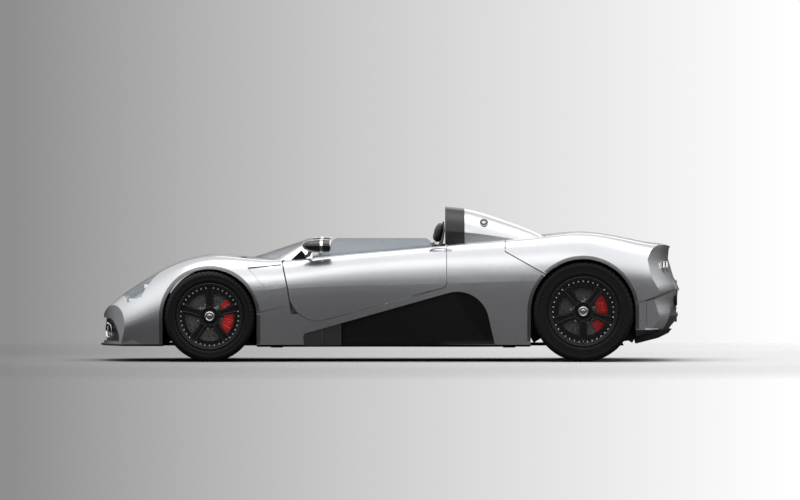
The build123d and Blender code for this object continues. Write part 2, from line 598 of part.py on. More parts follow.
# Wheels, built about the origin with the axle along Y and the outer side towards -Y, as on the left
HUB_FACE = 55.0
HUB_PAD_RADIUS = 70.0
CAP_RADIUS = 36.0
WINDOW_RADIUS = 178.0
FLANGE_HEIGHT = 12.0
BEAD_SETBACK = 14.0
SPIDER_SETBACK = 6.0
SPIDER_THICKNESS = 22.0
SPOKES = 5
BARREL_THICKNESS = 12.0
DISC_OFFSET = 10.0
HAT_RADIUS = 80.0
SPINDLE_END = 75.0
# Angle of one spoke above the way to the tail, and spoke half widths by radius from the hub out
FIRST_SPOKE = {"front": 90.0, "rear": 54.0}
SPOKE_OUTLINE = [(50.0, 34.0), (110.0, 24.0), (185.0, 33.0)]


def tyre(axle):
    width, radius, bead = TYRE_WIDTH[axle] / 2, TYRE_RADIUS[axle], BEAD_RADIUS[axle]
    half_bead = width - BEAD_SETBACK
    half = [(half_bead, bead), (half_bead, bead + 16), (width, bead + 45), (width, radius)]
    outline = [(-y, r) for y, r in half] + half[::-1]
    return turned(outline, [0, 0, 20, SHOULDER_RADIUS, SHOULDER_RADIUS, 20, 0, 0])


def rim(axle):
    width, bead = TYRE_WIDTH[axle] / 2 - BEAD_SETBACK, BEAD_RADIUS[axle]
    inside, flange = bead - BARREL_THICKNESS, bead + FLANGE_HEIGHT
    seat = bead - FIT
    half = [(width + 9, inside), (width + 9, flange), (width + FIT, flange), (width + FIT, seat)]
    barrel = turned([(-y, r) for y, r in half] + half[::-1])
    face = -(width - SPIDER_SETBACK)
    back = face + SPIDER_THICKNESS
    spider = disc(inside + 1, face, back) - disc(WINDOW_RADIUS, face - 1, back + 1)
    start, middle, end = SPOKE_OUTLINE
    blade = [(start[0], -start[1]), (middle[0], -middle[1]), (end[0], -end[1]),
             (end[0], end[1]), (middle[0], middle[1]), (start[0], start[1])]
    for i in range(SPOKES):
        spoke = side_prism(blade, [0, 60, 0, 0, 60, 0], face, back)
        spider += spoke.rotate(Axis.Y, 360 / SPOKES * i - FIRST_SPOKE[axle])
    hub = disc(HUB_PAD_RADIUS, face + 4, -HUB_FACE - FIT) + disc(CAP_RADIUS, face - 8, face + 10)
    hub -= disc(SPINDLE_RADIUS + BEARING_CLEARANCE, -SPINDLE_END - 4, 0)
    return barrel + spider + hub


def brake_disc():
    bore = SPINDLE_RADIUS + BEARING_CLEARANCE
    inboard, outboard = -DISC_OFFSET, -DISC_OFFSET - DISC_THICKNESS
    return turned([(-HUB_FACE, bore), (-HUB_FACE, HAT_RADIUS), (outboard, HAT_RADIUS), (outboard, DISC_RADIUS),
                   (inboard, DISC_RADIUS), (inboard, HAT_RADIUS - 8), (-HUB_FACE + 8, HAT_RADIUS - 8),
                   (-HUB_FACE + 8, bore)])


CALIPER_RADII = (100.0, 205.0)
CALIPER_ANGLE = 36.0
CALIPER_SIDES = (-66.0, 16.0)


def caliper():
    """Caliper over the rear edge of the disc, with a slot that clears the disc's faces and rim."""
    low, high = CALIPER_RADII
    y0, y1 = CALIPER_SIDES
    ring = disc(high, y0, y1) - disc(low, y0 - 1, y1 + 1)
    reach = 2 * high
    rise = reach * math.tan(math.radians(CALIPER_ANGLE))
    ring &= side_prism([(0, 0), (reach, -rise), (reach, rise)], None, y0, y1)
    slot = disc(DISC_RADIUS + PAD_GAP + 1, -DISC_OFFSET - DISC_THICKNESS - PAD_GAP, -DISC_OFFSET + PAD_GAP)
    return ring - slot


KINGPIN_OFFSET = 12.0
KINGPIN_RADIUS = 9.0
ARM_HEIGHT = 115.0
EYE_RADIUS = 20.0
EYE_HALF = 9.0
UPRIGHT_HALF_HEIGHT = 98.0
UPRIGHT_DEPTH = {"front": 26.0, "rear": 50.0}


def upright(axle):
    """Carrier with the spindle, the caliper's bracket and, in front, the steering pins and arm."""
    depth = UPRIGHT_DEPTH[axle]
    body = block(-28, 28, -2, depth, -UPRIGHT_HALF_HEIGHT, UPRIGHT_HALF_HEIGHT)
    body += disc(46, -4, depth) + disc(SPINDLE_RADIUS, -SPINDLE_END, 0)
    bracket_y = CALIPER_SIDES[1] + FIT
    body += block(20, 150, bracket_y, bracket_y + 12, -24, 24)
    if axle == "front":
        for sign in (-1, 1):
            body += rod((0, KINGPIN_OFFSET, sign * 80), (0, KINGPIN_OFFSET, sign * (ARM_HEIGHT + EYE_HALF + 3)),
                        KINGPIN_RADIUS)
        body += block(-120, -20, 8, 24, -14, 14)
    return body


def at_wheel(shape, axle, side):
    placed = shape.moved(Location((AXLE_X[axle], -WHEEL_Y[axle], TYRE_RADIUS[axle])))
    return placed if side == "left" else mirror(placed, about=Plane.XZ)


the_disc, the_caliper = brake_disc(), caliper()
rear_calipers, rear_carriers = [], []
for axle in ("front", "rear"):
    the_tyre, the_rim, the_upright = tyre(axle), rim(axle), upright(axle)
    for side in ("left", "right"):
        save(f"tyre_{axle}_{side}", at_wheel(the_tyre, axle, side))
        save(f"rim_{axle}_{side}", at_wheel(the_rim, axle, side))
        save(f"brake_disc_{axle}_{side}", at_wheel(the_disc, axle, side))
        if axle == "front":
            save(f"knuckle_{side}", at_wheel(the_upright, axle, side))
            save(f"caliper_front_{side}", at_wheel(the_caliper, axle, side))
        else:
            rear_calipers.append(at_wheel(the_caliper, axle, side))
            rear_carriers.append(at_wheel(the_upright, axle, side))
save("calipers_rear", *rear_calipers)
save("carriers_rear", *rear_carriers)

# Tub and frames
FLOOR_LOW, FLOOR_HIGH = GROUND_CLEARANCE + 17.0, GROUND_CLEARANCE + 37.0
BULKHEAD_X, REAR_WALL_X = x_at(-1040), x_at(480)
WALL = 20.0
TUNNEL_HALF, TUNNEL_HIGH = 100.0, 330.0
FRONT_FRAME_Y, REAR_FRAME_Y = 490.0, 400.0
front_z, rear_z = TYRE_RADIUS["front"], TYRE_RADIUS["rear"]
STEERED_TYRE_REACH = 360.0
TUB_X = FRONT_AXLE_X + STEERED_TYRE_REACH
tub = block(TUB_X, REAR_WALL_X + WALL, -TUB_HALF_WIDTH, TUB_HALF_WIDTH, FLOOR_LOW, FLOOR_HIGH)
tub += block(BULKHEAD_X, TUB_X, -FRONT_FRAME_Y, FRONT_FRAME_Y, FLOOR_LOW, FLOOR_HIGH)
tub += block(BULKHEAD_X, BULKHEAD_X + WALL, -FRONT_FRAME_Y, FRONT_FRAME_Y, FLOOR_LOW, z_at(670))
for y0 in (-TUB_HALF_WIDTH, FRONT_FRAME_Y - WALL):
    tub += block(TUB_X, TUB_X + WALL, y0, y0 + TUB_HALF_WIDTH - FRONT_FRAME_Y + WALL, FLOOR_LOW, z_at(670))
    y_side = -FRONT_FRAME_Y if y0 < 0 else y0
    tub += block(BULKHEAD_X, TUB_X + WALL, y_side, y_side + WALL, FLOOR_LOW, z_at(670))
tub += block(REAR_WALL_X, REAR_WALL_X + WALL, -TUB_HALF_WIDTH, TUB_HALF_WIDTH, FLOOR_LOW, z_at(780))
tub += block(BULKHEAD_X, REAR_WALL_X, -TUNNEL_HALF, TUNNEL_HALF, FLOOR_LOW, TUNNEL_HIGH)
for y0 in (-TUB_HALF_WIDTH, TUB_HALF_WIDTH - 40):
    tub += block(x_at(-860), REAR_WALL_X, y0, y0 + 40, FLOOR_LOW, z_at(290))
    tub += block(x_at(-700), x_at(-640), y0, y0 + 40, FLOOR_LOW, z_at(650))
for sign in (-1, 1):
    y0, y1 = sorted((sign * (FRONT_FRAME_Y - WALL), sign * FRONT_FRAME_Y))
    tub += block(x_at(-1800), BULKHEAD_X + 5, y0, y1, FLOOR_LOW + 40, front_z + 150)
    y0, y1 = sorted((sign * (REAR_FRAME_Y - WALL), sign * REAR_FRAME_Y))
    tub += block(REAR_WALL_X, x_at(1940), y0, y1, rear_z - 150, rear_z + 150)
    tub -= rod((REAR_AXLE_X, y0 - 5, rear_z), (REAR_AXLE_X, y1 + 5, rear_z), 60)
tub += block(x_at(-1800), x_at(-1780), -FRONT_FRAME_Y, FRONT_FRAME_Y, FLOOR_LOW + 40, front_z + 80)
tub += block(x_at(1920), x_at(1940), -REAR_FRAME_Y, REAR_FRAME_Y, rear_z + 40, rear_z + 150)
for ears in lid_ears:
    tub += ears
save("chassis", tub)

# Luggage tray under the front lid
TRAY_X0, TRAY_X1, TRAY_WALL = x_at(-1780) + FIT, BULKHEAD_X - FIT, 8.0
TRAY_HALF = FRONT_FRAME_Y - WALL - FIT
tray = block(TRAY_X0, TRAY_X1, -TRAY_HALF, TRAY_HALF, 200, z_at(480))
tray -= block(TRAY_X0 + TRAY_WALL, TRAY_X1 - TRAY_WALL, -TRAY_HALF + TRAY_WALL, TRAY_HALF - TRAY_WALL,
              200 + TRAY_WALL, z_at(600))
save("luggage_tray", tray)

# Suspension arms: two legs from each eye to brackets on the frame
ARM_SPREAD = 95.0
ARM_BAR_RADIUS = 11.0
POST_HEIGHT = 76.0


def arm(axle, sign):
    x, z = AXLE_X[axle], TYRE_RADIUS[axle] + sign * ARM_HEIGHT
    frame_y = FRONT_FRAME_Y if axle == "front" else REAR_FRAME_Y
    y_pin = -WHEEL_Y[axle] + (KINGPIN_OFFSET if axle == "front" else UPRIGHT_DEPTH[axle] + FIT + 12)
    result = None
    for step in (-1, 1):
        foot_x = x + step * ARM_SPREAD
        leg = rod((x + step * 4, y_pin + 14, z), (foot_x, -frame_y - 8, z), ARM_BAR_RADIUS)
        leg += block(foot_x - 16, foot_x + 16, -frame_y - 14, -frame_y - FIT, z - 16, z + 16)
        result = leg if result is None else result + leg
    if axle == "front":
        eye = rod((x, y_pin, z - EYE_HALF), (x, y_pin, z + EYE_HALF), EYE_RADIUS)
        result += eye
        result -= rod((x, y_pin, z - 50), (x, y_pin, z + 50), KINGPIN_RADIUS + BEARING_CLEARANCE)
    else:
        # The rear arms end in a post towards the hub carrier
        post_z = sorted((z + sign * (EYE_HALF + 7), z - sign * POST_HEIGHT))
        result += block(x - EYE_RADIUS, x + EYE_RADIUS, y_pin - 12, y_pin + 20, *post_z)
    return result


arms = [piece for axle in ("front", "rear") for sign in (-1, 1) for piece in both_sides(arm(axle, sign))]
save("suspension_arms", *arms)

# Engine, transaxle with half shafts, exhaust
HALF_SHAFT_RADIUS = 22.0
ENGINE_X0, ENGINE_X1 = REAR_WALL_X + WALL + 40, x_at(1040)
engine = block(ENGINE_X0, ENGINE_X1, -290, 290, 190, 640)
engine += block(ENGINE_X1, x_at(1680), -160, 160, 210, 470)
for sign in (-1, 1):
    shaft_end = sign * (WHEEL_Y["rear"] - UPRIGHT_DEPTH["rear"] - FIT)
    engine += rod((REAR_AXLE_X, sign * 150, rear_z), (REAR_AXLE_X, shaft_end, rear_z), HALF_SHAFT_RADIUS)
save("engine", engine)
TAILPIPE_Y, TAILPIPE_Z, TAILPIPE_RADIUS = 150.0, 330.0, 48.0


def across_length(x0, x1, y, z, radius):
    """Round bar along the car."""
    return rod((x0, y, z), (x1, y, z), radius)


EXHAUST_HALF = REAR_FRAME_Y - WALL - FIT
exhaust = block(x_at(1720), x_at(1880), -EXHAUST_HALF, EXHAUST_HALF, 270, 400)
for sign in (-1, 1):
    start, end = (x_at(1870), sign * TAILPIPE_Y, TAILPIPE_Z), (TAIL_X - 24, sign * TAILPIPE_Y, TAILPIPE_Z)
    exhaust += rod(start, end, TAILPIPE_RADIUS)
    pipe_y = sign * TAILPIPE_Y
    exhaust -= across_length(TAIL_X - 140, TAIL_X, pipe_y, TAILPIPE_Z, TAILPIPE_RADIUS - 4)
    diffuser -= across_length(x_at(1900), TAIL_X + 40, pipe_y, TAILPIPE_Z, TAILPIPE_RADIUS + 8)
save("exhaust", exhaust)
save("diffuser", diffuser)

# Flat floor under the car
PAN_LOW = GROUND_CLEARANCE + 4.0
pan = block(x_at(-1640) + FIT, x_at(1690), -470, 470, PAN_LOW, PAN_LOW + 10)
pan += block(x_at(-955), x_at(1000), -TUB_HALF_WIDTH, TUB_HALF_WIDTH, PAN_LOW, PAN_LOW + 10)
save("underfloor", pan)

# Interior
SEAT_Y = 370.0
DASH_HALF_WIDTH = 655.0
SEAT_HALF, BOLSTER_WIDTH = 250.0, 58.0
# Side outlines of the seat and of its bolsters; columns: drawn x and z, corner radius
SEAT_SIDE = [(-230, 145, 0), (-240, 300, 25), (-180, 335, 30), (60, 275, 40), (150, 300, 60), (300, 860, 40),
             (330, 1000, 25), (392, 1008, 15), (398, 940, 20), (330, 600, 0), (250, 250, 60), (240, 145, 0)]
BOLSTER_SIDE = [(-226, 145, 0), (-232, 322, 30), (-175, 352, 25), (20, 330, 40), (122, 342, 60), (245, 600, 0),
                (290, 830, 30), (360, 850, 15), (330, 600, 0), (250, 250, 60), (240, 145, 0)]


def seat_slice(table, y0, y1):
    return side_prism(drawn([(x, z) for x, z, _ in table]), [radius for _, _, radius in table], y0, y1)


seat_profile = seat_slice(SEAT_SIDE, -SEAT_HALF, SEAT_HALF)
for y0 in (-SEAT_HALF, SEAT_HALF - BOLSTER_WIDTH):
    seat_profile += seat_slice(BOLSTER_SIDE, y0, y0 + BOLSTER_WIDTH)
seat_profile -= block(-1000, 1000, -300, 300, 0, FLOOR_HIGH + FIT)
HEADREST_HALF = 130.0
headroom = block(x_at(200), x_at(420), -SEAT_HALF - 10, SEAT_HALF + 10, z_at(800), 1200)
headroom -= block(x_at(200), x_at(420), -HEADREST_HALF, HEADREST_HALF, 0, 1300)
seat = seat_profile - headroom
for name, sign in (("left", -1), ("right", 1)):
    save(f"seat_{name}", Pos(0, sign * SEAT_Y, 0) * seat)
dash_x = x_at(-1305) + STEERED_TYRE_REACH + WALL + FIT
DASH_SIDE = [(-880, 705), (-640, 705), (-600, 660), (-640, 560)]
dash = side_prism([(dash_x, z_at(560)), (dash_x, z_at(680))] + drawn(DASH_SIDE), [0, 0, 30, 30, 30, 40],
                  -DASH_HALF_WIDTH, DASH_HALF_WIDTH)
# Hood over the instruments
dash += side_prism(drawn([(-850, 690), (-700, 690), (-688, 742), (-770, 750)]), [0, 0, 12, 30], -SEAT_Y - 130,
                   -SEAT_Y + 130)
WHEEL_CENTRE = (x_at(-430), -SEAT_Y, z_at(612))
WHEEL_TILT = 25.0
tilt = math.radians(WHEEL_TILT)
column_dir = Vector(-math.cos(tilt), 0, -math.sin(tilt))
column_start = Vector(*WHEEL_CENTRE) + column_dir * 36
column_plane = Plane(Vector(*WHEEL_CENTRE), x_dir=(0, 1, 0), z_dir=-column_dir)
dash += block(x_at(-700), x_at(-622), -SEAT_Y - 40, -SEAT_Y + 40, z_at(495), z_at(580))
dash += Solid.make_cylinder(26, 190, Plane(column_start, z_dir=column_dir))
dash += Solid.make_cylinder(8.0, 60, Plane(Vector(*WHEEL_CENTRE) + column_dir * 2, z_dir=column_dir))
save("dashboard", dash)
HAND_WHEEL_RADIUS, GRIP_RADIUS, HAND_HUB_RADIUS, COLUMN_TIP_RADIUS = 178.0, 14.0, 34.0, 8.0
spoke_length = HAND_WHEEL_RADIUS - 10
steering = Torus(HAND_WHEEL_RADIUS, GRIP_RADIUS) + Pos(0, 0, -12) * Cylinder(HAND_HUB_RADIUS, 44)
for angle in (0, 90, 180):
    steering += Rot(0, 0, angle) * Pos(spoke_length / 2 + 4, 0, -4) * Box(spoke_length, 30, 10)
steering -= Pos(0, 0, -30) * Cylinder(COLUMN_TIP_RADIUS + FIT, 60)
steering = steering.moved(column_plane.location)
save("steering_wheel", steering)
console_low = TUNNEL_HIGH + FIT
console = side_prism([(x_at(-590), console_low)] + drawn([(-590, 559), (-560, 559), (-380, 420), (380, 400)])
                     + [(x_at(400), console_low)],
                     [0, 0, 10, 60, 30, 0], -90, 90)
# Gear lever on the console
LEVER_FOOT, LEVER_TOP = (x_at(-330), 0, z_at(400)), (x_at(-350), 0, z_at(500))
console += rod(LEVER_FOOT, LEVER_TOP, 7)
console += Pos(*LEVER_TOP) * Sphere(20)
save("console", console)

# Roll hoops and the fairings behind them
HOOP_X0, HOOP_X1 = x_at(400), x_at(540)
HOOP_HALF, HOOP_TOP = 195.0, HEIGHT
FAIRING_GAP = 2.0


def hump_section(x, half, top, low):
    """Arch across the car: straight legs up to the shoulder and one wide arc over the top."""
    knee = low + (top - low) * 0.45
    arch = ThreePointArc((x, -half, knee), (x, 0, top), (x, half, knee))
    return Wire([Line((x, -half, low), (x, -half, knee)), arch, Line((x, half, knee), (x, half, low)),
                 Line((x, half, low), (x, -half, low))])


HUMPS = [(540, 188, 1096), (720, 172, 1049), (900, 140, 987), (1040, 100, 931), (1112, 60, 893)]
hump = Solid.make_loft([hump_section(x_at(x), half, z_at(top), z_at(800)) for x, half, top in HUMPS])
above_deck = outer.moved(Location((0, 0, FIT)))
fairings = [(Pos(0, sign * SEAT_Y, 0) * hump) - above_deck for sign in (-1, 1)]
hoop_outer = Solid.make_loft([hump_section(HOOP_X0, HOOP_HALF, HOOP_TOP, 800),
                              hump_section(HOOP_X1 - FAIRING_GAP, HOOP_HALF, HOOP_TOP - 14, 800)])
hoop_inner = Solid.make_loft([hump_section(HOOP_X0 - 1, HOOP_HALF - 34, HOOP_TOP - 36, 700),
                              hump_section(HOOP_X1 + 1, HOOP_HALF - 34, HOOP_TOP - 50, 700)])
hoops = [Pos(0, sign * SEAT_Y, 0) * (hoop_outer - hoop_inner) - above_deck for sign in (-1, 1)]
# Filler cap let into the shoulder of the left fairing
CAP_X, CAP_RADIUS_FUEL, CAP_PROUD, CAP_SEAT = x_at(678), 32.0, 4.0, 14.0
CAP_TILT = 41.7
cap_normal = Vector(0, -math.cos(math.radians(CAP_TILT)), math.sin(math.radians(CAP_TILT)))
cap_face = Vector(CAP_X, -SEAT_Y - 135.7, z_at(1002))
filler_cap = rod(cap_face - cap_normal * CAP_SEAT, cap_face + cap_normal * CAP_PROUD, CAP_RADIUS_FUEL)
fairings[0] -= rod(cap_face - cap_normal * CAP_SEAT, cap_face + cap_normal * 60, CAP_RADIUS_FUEL + FIT)
save("filler_cap", filler_cap)
save("head_fairings", *[s for f in fairings for s in f.solids() if s.volume > 1e5])
save("roll_hoops", *[s for f in hoops for s in f.solids() if s.volume > 1e5])

# Windscreen and its frame: a swept-back shell between the cowl and the header
def screen_section(z, foot_x, side_x, half):
    return Wire([ThreePointArc((side_x, -half, z), (foot_x, 0, z), (side_x, half, z)),
                 Line((side_x, half, z), (-400, half, z)), Line((-400, half, z), (-400, -half, z)),
                 Line((-400, -half, z), (side_x, -half, z))])


glasshouse = Solid.make_loft([screen_section(z_at(700), x_at(-1152), x_at(-850), 738.0),
                              screen_section(z_at(883), x_at(-594), x_at(-560), 520.0)], ruled=True)
HEADER_X = x_at(-594)


def screen_sheet(low, high):
    sheet = glasshouse.moved(Location((low, 0, 0))) - glasshouse.moved(Location((high, 0, -2)))
    return sheet & block(-1300, HEADER_X + 30, -1000, 1000, 0, 1200)


above_cowl = outer.moved(Location((0, 0, FIT)))
GLASS_PLAN = [(-1300, 560), (-800, 640), (-640, 490), (-625, 0)]
glass_right = [(x_at(x), y) for x, y in GLASS_PLAN]
glass_zone = plan_prism(glass_right + [(x, -y) for x, y in glass_right[-2::-1]], 600, FAR)
frame = screen_sheet(0, 44) - glass_zone - above_cowl
glass = (screen_sheet(8, 24) & glass_zone) - above_cowl - frame
save("windscreen", *[s for s in glass.solids() if s.volume > 5e4])
save("screen_frame", *[s for s in frame.solids() if s.volume > 5e4])

# Side glass, quarter panel and mirror on each door
glass_face = drawn([(-600, 700), (-400, 886), (290, 886), (345, 700)])
pane = side_prism(glass_face, [0, 70, 60, 0], -2.5, 2.5)
pane = pane.moved(Location((0, -748, 0)) * Location((0, 0, z_at(745))) * Location((0, 0, 0), (-17, 0, 0))
                  * Location((0, 0, -z_at(745))))
pane -= above_cowl
sail = side_prism(drawn([(-735, 720), (-640, 806), (-604, 760), (-604, 720)]), None, -776, -768) - above_cowl
# Mirror housing as a loft of ovals; columns: x, half width, half height
POD_SECTIONS = [(-634, 12, 7), (-612, 46, 28), (-565, 74, 43), (-500, 84, 49), (-436, 80, 46)]
POD_Y, POD_Z = 895.0, 838


def pod_section(x, half_width, half_height):
    plane = Plane(origin=(x_at(x), -POD_Y, z_at(POD_Z)), x_dir=(0, 1, 0), z_dir=(1, 0, 0))
    return (plane * Ellipse(half_width, half_height)).face().outer_wire()


pod = Solid.make_loft([pod_section(*row) for row in POD_SECTIONS])
stalk = rod((x_at(-590), -790, z_at(770)), (x_at(-570), -850, z_at(815)), 14) - above_cowl
mirror_left = pod + stalk + (sail + rod((x_at(-612), -772, z_at(760)), (x_at(-590), -790, z_at(770)), 12))
mirror_left -= above_cowl
for name, pieces in (("door_glass", pane), ("mirror", mirror_left)):
    for side, piece in zip(("left", "right"), both_sides(pieces)):
        save(f"{name}_{side}", *[s for s in piece.solids() if s.volume > 1e4])

# Lamps
FOG_Y, FOG_Z, FOG_HALF = 400.0, 222.0, (44.0, 58.0)
FOG_TURN = 14.0


def fog_lamp(grow):
    """Oval lamp body facing forward and a little outward."""
    barrel = extrude(Plane.YZ * Ellipse(FOG_HALF[0] + grow, FOG_HALF[1] + grow), amount=64, both=False)
    place = Location((NOSE_X + 26, -y_at(FOG_Y), z_at(FOG_Z))) * Location((0, 0, 0), (0, 0, FOG_TURN))
    return barrel.moved(place)


for hole in both_sides(fog_lamp(FIT)):
    nose_insert -= hole
save("nose_insert", nose_insert)
save("fog_lamps", *both_sides(fog_lamp(0)))
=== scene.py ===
import math

import bmesh
import bpy
from mathutils import Matrix, Vector
from mathutils.bvhtree import BVHTree


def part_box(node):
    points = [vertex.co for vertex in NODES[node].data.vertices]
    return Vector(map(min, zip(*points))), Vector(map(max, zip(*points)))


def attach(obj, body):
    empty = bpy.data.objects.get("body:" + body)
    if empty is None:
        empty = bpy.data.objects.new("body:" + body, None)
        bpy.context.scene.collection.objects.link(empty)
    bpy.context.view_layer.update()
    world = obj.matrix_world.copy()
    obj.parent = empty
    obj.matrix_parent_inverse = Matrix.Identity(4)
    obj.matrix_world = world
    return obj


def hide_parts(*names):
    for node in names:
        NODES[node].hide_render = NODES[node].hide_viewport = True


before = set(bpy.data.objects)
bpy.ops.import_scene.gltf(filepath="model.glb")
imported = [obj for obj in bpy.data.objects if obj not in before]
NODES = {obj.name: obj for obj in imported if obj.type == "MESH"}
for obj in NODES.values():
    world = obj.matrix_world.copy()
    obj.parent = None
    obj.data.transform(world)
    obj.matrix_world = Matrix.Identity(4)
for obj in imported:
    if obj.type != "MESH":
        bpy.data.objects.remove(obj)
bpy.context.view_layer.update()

# Places read from model.glb, in metres. The nose points along -X and the left side along -Y.
SIDES = (("left", -1), ("right", 1))


def middle(node):
    low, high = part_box(node)
    return (Vector(low) + Vector(high)) / 2


WHEEL_CENTRE = {(axle, side): middle(f"tyre_{axle}_{side}") for axle in ("front", "rear") for side, _ in SIDES}

# The photograph: pixel size at the near side of the car and the point at the middle of the picture
METRES_PER_PIXEL = 0.007225
PICTURE_WIDTH = 800
PICTURE_CENTRE = (0.071, 0.809)
NEAR_SIDE_Y = -0.9
CAMERA_DISTANCE = 150.0
CAMERA_ELEVATION = 0.6
SENSOR_WIDTH = 36.0


# Materials

# How fast a material changes where one finish meets another
BAND_EDGE = 0.0005


def new_material(name):
    material = bpy.data.materials.new(name)
    material.use_nodes = True
    return material, material.node_tree.nodes["Principled BSDF"]


def set_sockets(shader, **sockets):
    """A key names an input, with an underscore for a space."""
    for key, value in sockets.items():
        shader.inputs[key.replace("_", " ")].default_value = value


def add_node(material, kind, **values):
    """A new node; a key names an input socket, or else a property of the node."""
    node = material.node_tree.nodes.new(kind)
    for key, value in values.items():
        socket = node.inputs.get(key.replace("_", " "))
        if socket is not None:
            socket.default_value = value
        else:
            setattr(node, key, value)
    return node


def join(material, source, target):
    material.node_tree.links.new(source, target)


def place(material):
    """Position on the car in metres."""
    return add_node(material, "ShaderNodeTexCoord").outputs["Object"]


def place_along(material, axis):
    """Position along one axis of the car."""
    parts = add_node(material, "ShaderNodeSeparateXYZ")
    join(material, place(material), parts.inputs[0])
    return parts.outputs[axis]


def noise(material, scale, detail, stretch=(1.0, 1.0, 1.0)):
    mapping = add_node(material, "ShaderNodeMapping", Scale=stretch)
    texture = add_node(material, "ShaderNodeTexNoise", Scale=scale, Detail=detail)
    join(material, place(material), mapping.inputs["Vector"])
    join(material, mapping.outputs["Vector"], texture.inputs["Vector"])
    return texture.outputs["Fac"]


def ramp(material, factor, low, high, start=0.3, end=0.7):
    """Carries a factor between start and end to a number between low and high."""
    node = add_node(material, "ShaderNodeMapRange", From_Min=start, From_Max=end, To_Min=low, To_Max=high)
    join(material, factor, node.inputs["Value"])
    return node.outputs["Result"]


def mix_colours(material, factor, first, second, blend_type="MIX"):
    """Two colours in a share; the share and the colours are output sockets or values."""
    node = add_node(material, "ShaderNodeMix", data_type="RGBA", blend_type=blend_type)
    for index, value in ((0, factor), (6, first), (7, second)):
        if isinstance(value, bpy.types.NodeSocket):
            join(material, value, node.inputs[index])
        else:
            node.inputs[index].default_value = value
    return node.outputs[2]


def blend_colours(material, factor, first, second, start=0.3, end=0.7):
    return mix_colours(material, ramp(material, factor, 0.0, 1.0, start, end), (*first, 1.0), (*second, 1.0))


def bump(material, height, distance):
    node = add_node(material, "ShaderNodeBump", Strength=0.5, Distance=distance)
    join(material, height, node.inputs["Height"])
    return node.outputs["Normal"]


def finish(name, colour, other, roughness, grain, metallic=0.0, grain_size=0.01, relief=0.0, stretch=(1, 1, 1),
           **sockets):
    """Colour and roughness that vary a little over the surface, with a fine relief. grain is the roughness range."""
    material, shader = new_material(name)
    pattern = noise(material, 1.0 / grain_size, 4.0, stretch)
    join(material, blend_colours(material, pattern, colour, other), shader.inputs["Base Color"])
    join(material, ramp(material, pattern, roughness - grain, roughness + grain), shader.inputs["Roughness"])
    if relief:
        join(material, bump(material, pattern, relief), shader.inputs["Normal"])
    set_sockets(shader, Metallic=metallic, **sockets)
    return material


def make_paint(name, black_below=0.0):
    """Silver metallic paint: broad soft variation, fine flakes and a clear coat; black under a height."""
    material, shader = new_material(name)
    broad = noise(material, 1.5, 2.0)
    flake = add_node(material, "ShaderNodeTexVoronoi", Scale=700.0)
    join(material, place(material), flake.inputs["Vector"])
    base = blend_colours(material, broad, (0.68, 0.69, 0.71), (0.73, 0.74, 0.76))
    flakes = blend_colours(material, flake.outputs["Color"], (0.94, 0.94, 0.95), (1.0, 1.0, 1.0), 0.0, 1.0)
    colour = mix_colours(material, 1.0, base, flakes, "MULTIPLY")
    if black_below:
        painted = ramp(material, place_along(material, "Z"), 0.0, 1.0, black_below - BAND_EDGE, black_below)
        colour = mix_colours(material, painted, (0.006, 0.006, 0.006, 1.0), colour)
    join(material, colour, shader.inputs["Base Color"])
    join(material, ramp(material, flake.outputs["Distance"], 0.24, 0.31, 0.0, 1.0), shader.inputs["Roughness"])
    set_sockets(shader, Metallic=0.85, Coat_Weight=0.55, Coat_Roughness=0.06)
    return material


def banded(name, base, band, axis, low, high, roughness, metallic, **sockets):
    """A finish whose colour and metal change between two places along one axis of the car."""
    material, shader = new_material(name)
    along = place_along(material, axis)
    inside = add_node(material, "ShaderNodeMath", operation="MULTIPLY")
    join(material, ramp(material, along, 0.0, 1.0, low - BAND_EDGE, low), inside.inputs[0])
    join(material, ramp(material, along, 1.0, 0.0, high, high + BAND_EDGE), inside.inputs[1])
    share = inside.outputs[0]
    grain = noise(material, 120.0, 4.0)
    colours = [blend_colours(material, grain, colour, tuple(c * lighter for c in colour))
               for colour, lighter in ((base, 1.4), (band, 1.15))]
    join(material, mix_colours(material, share, *colours), shader.inputs["Base Color"])
    join(material, ramp(material, share, 0.0, metallic, 0.0, 1.0), shader.inputs["Metallic"])
    join(material, ramp(material, grain, roughness - 0.04, roughness + 0.04), shader.inputs["Roughness"])
    set_sockets(shader, **sockets)
    return material


def make_glass(name, tint, alpha):
    """Thin glazing that lets the cabin show, tinted a little, with faint streaks in its gloss."""
    material, shader = new_material(name)
    streaks = noise(material, 18.0, 3.0, (1.0, 4.0, 1.0))
    join(material, ramp(material, streaks, 0.02, 0.07), shader.inputs["Roughness"])
    join(material, blend_colours(material, streaks, tint, tuple(c * 0.93 for c in tint)), shader.inputs["Base Color"])
    set_sockets(shader, Alpha=alpha, IOR=1.5, Coat_Weight=1.0, Coat_Roughness=0.02)
    return material


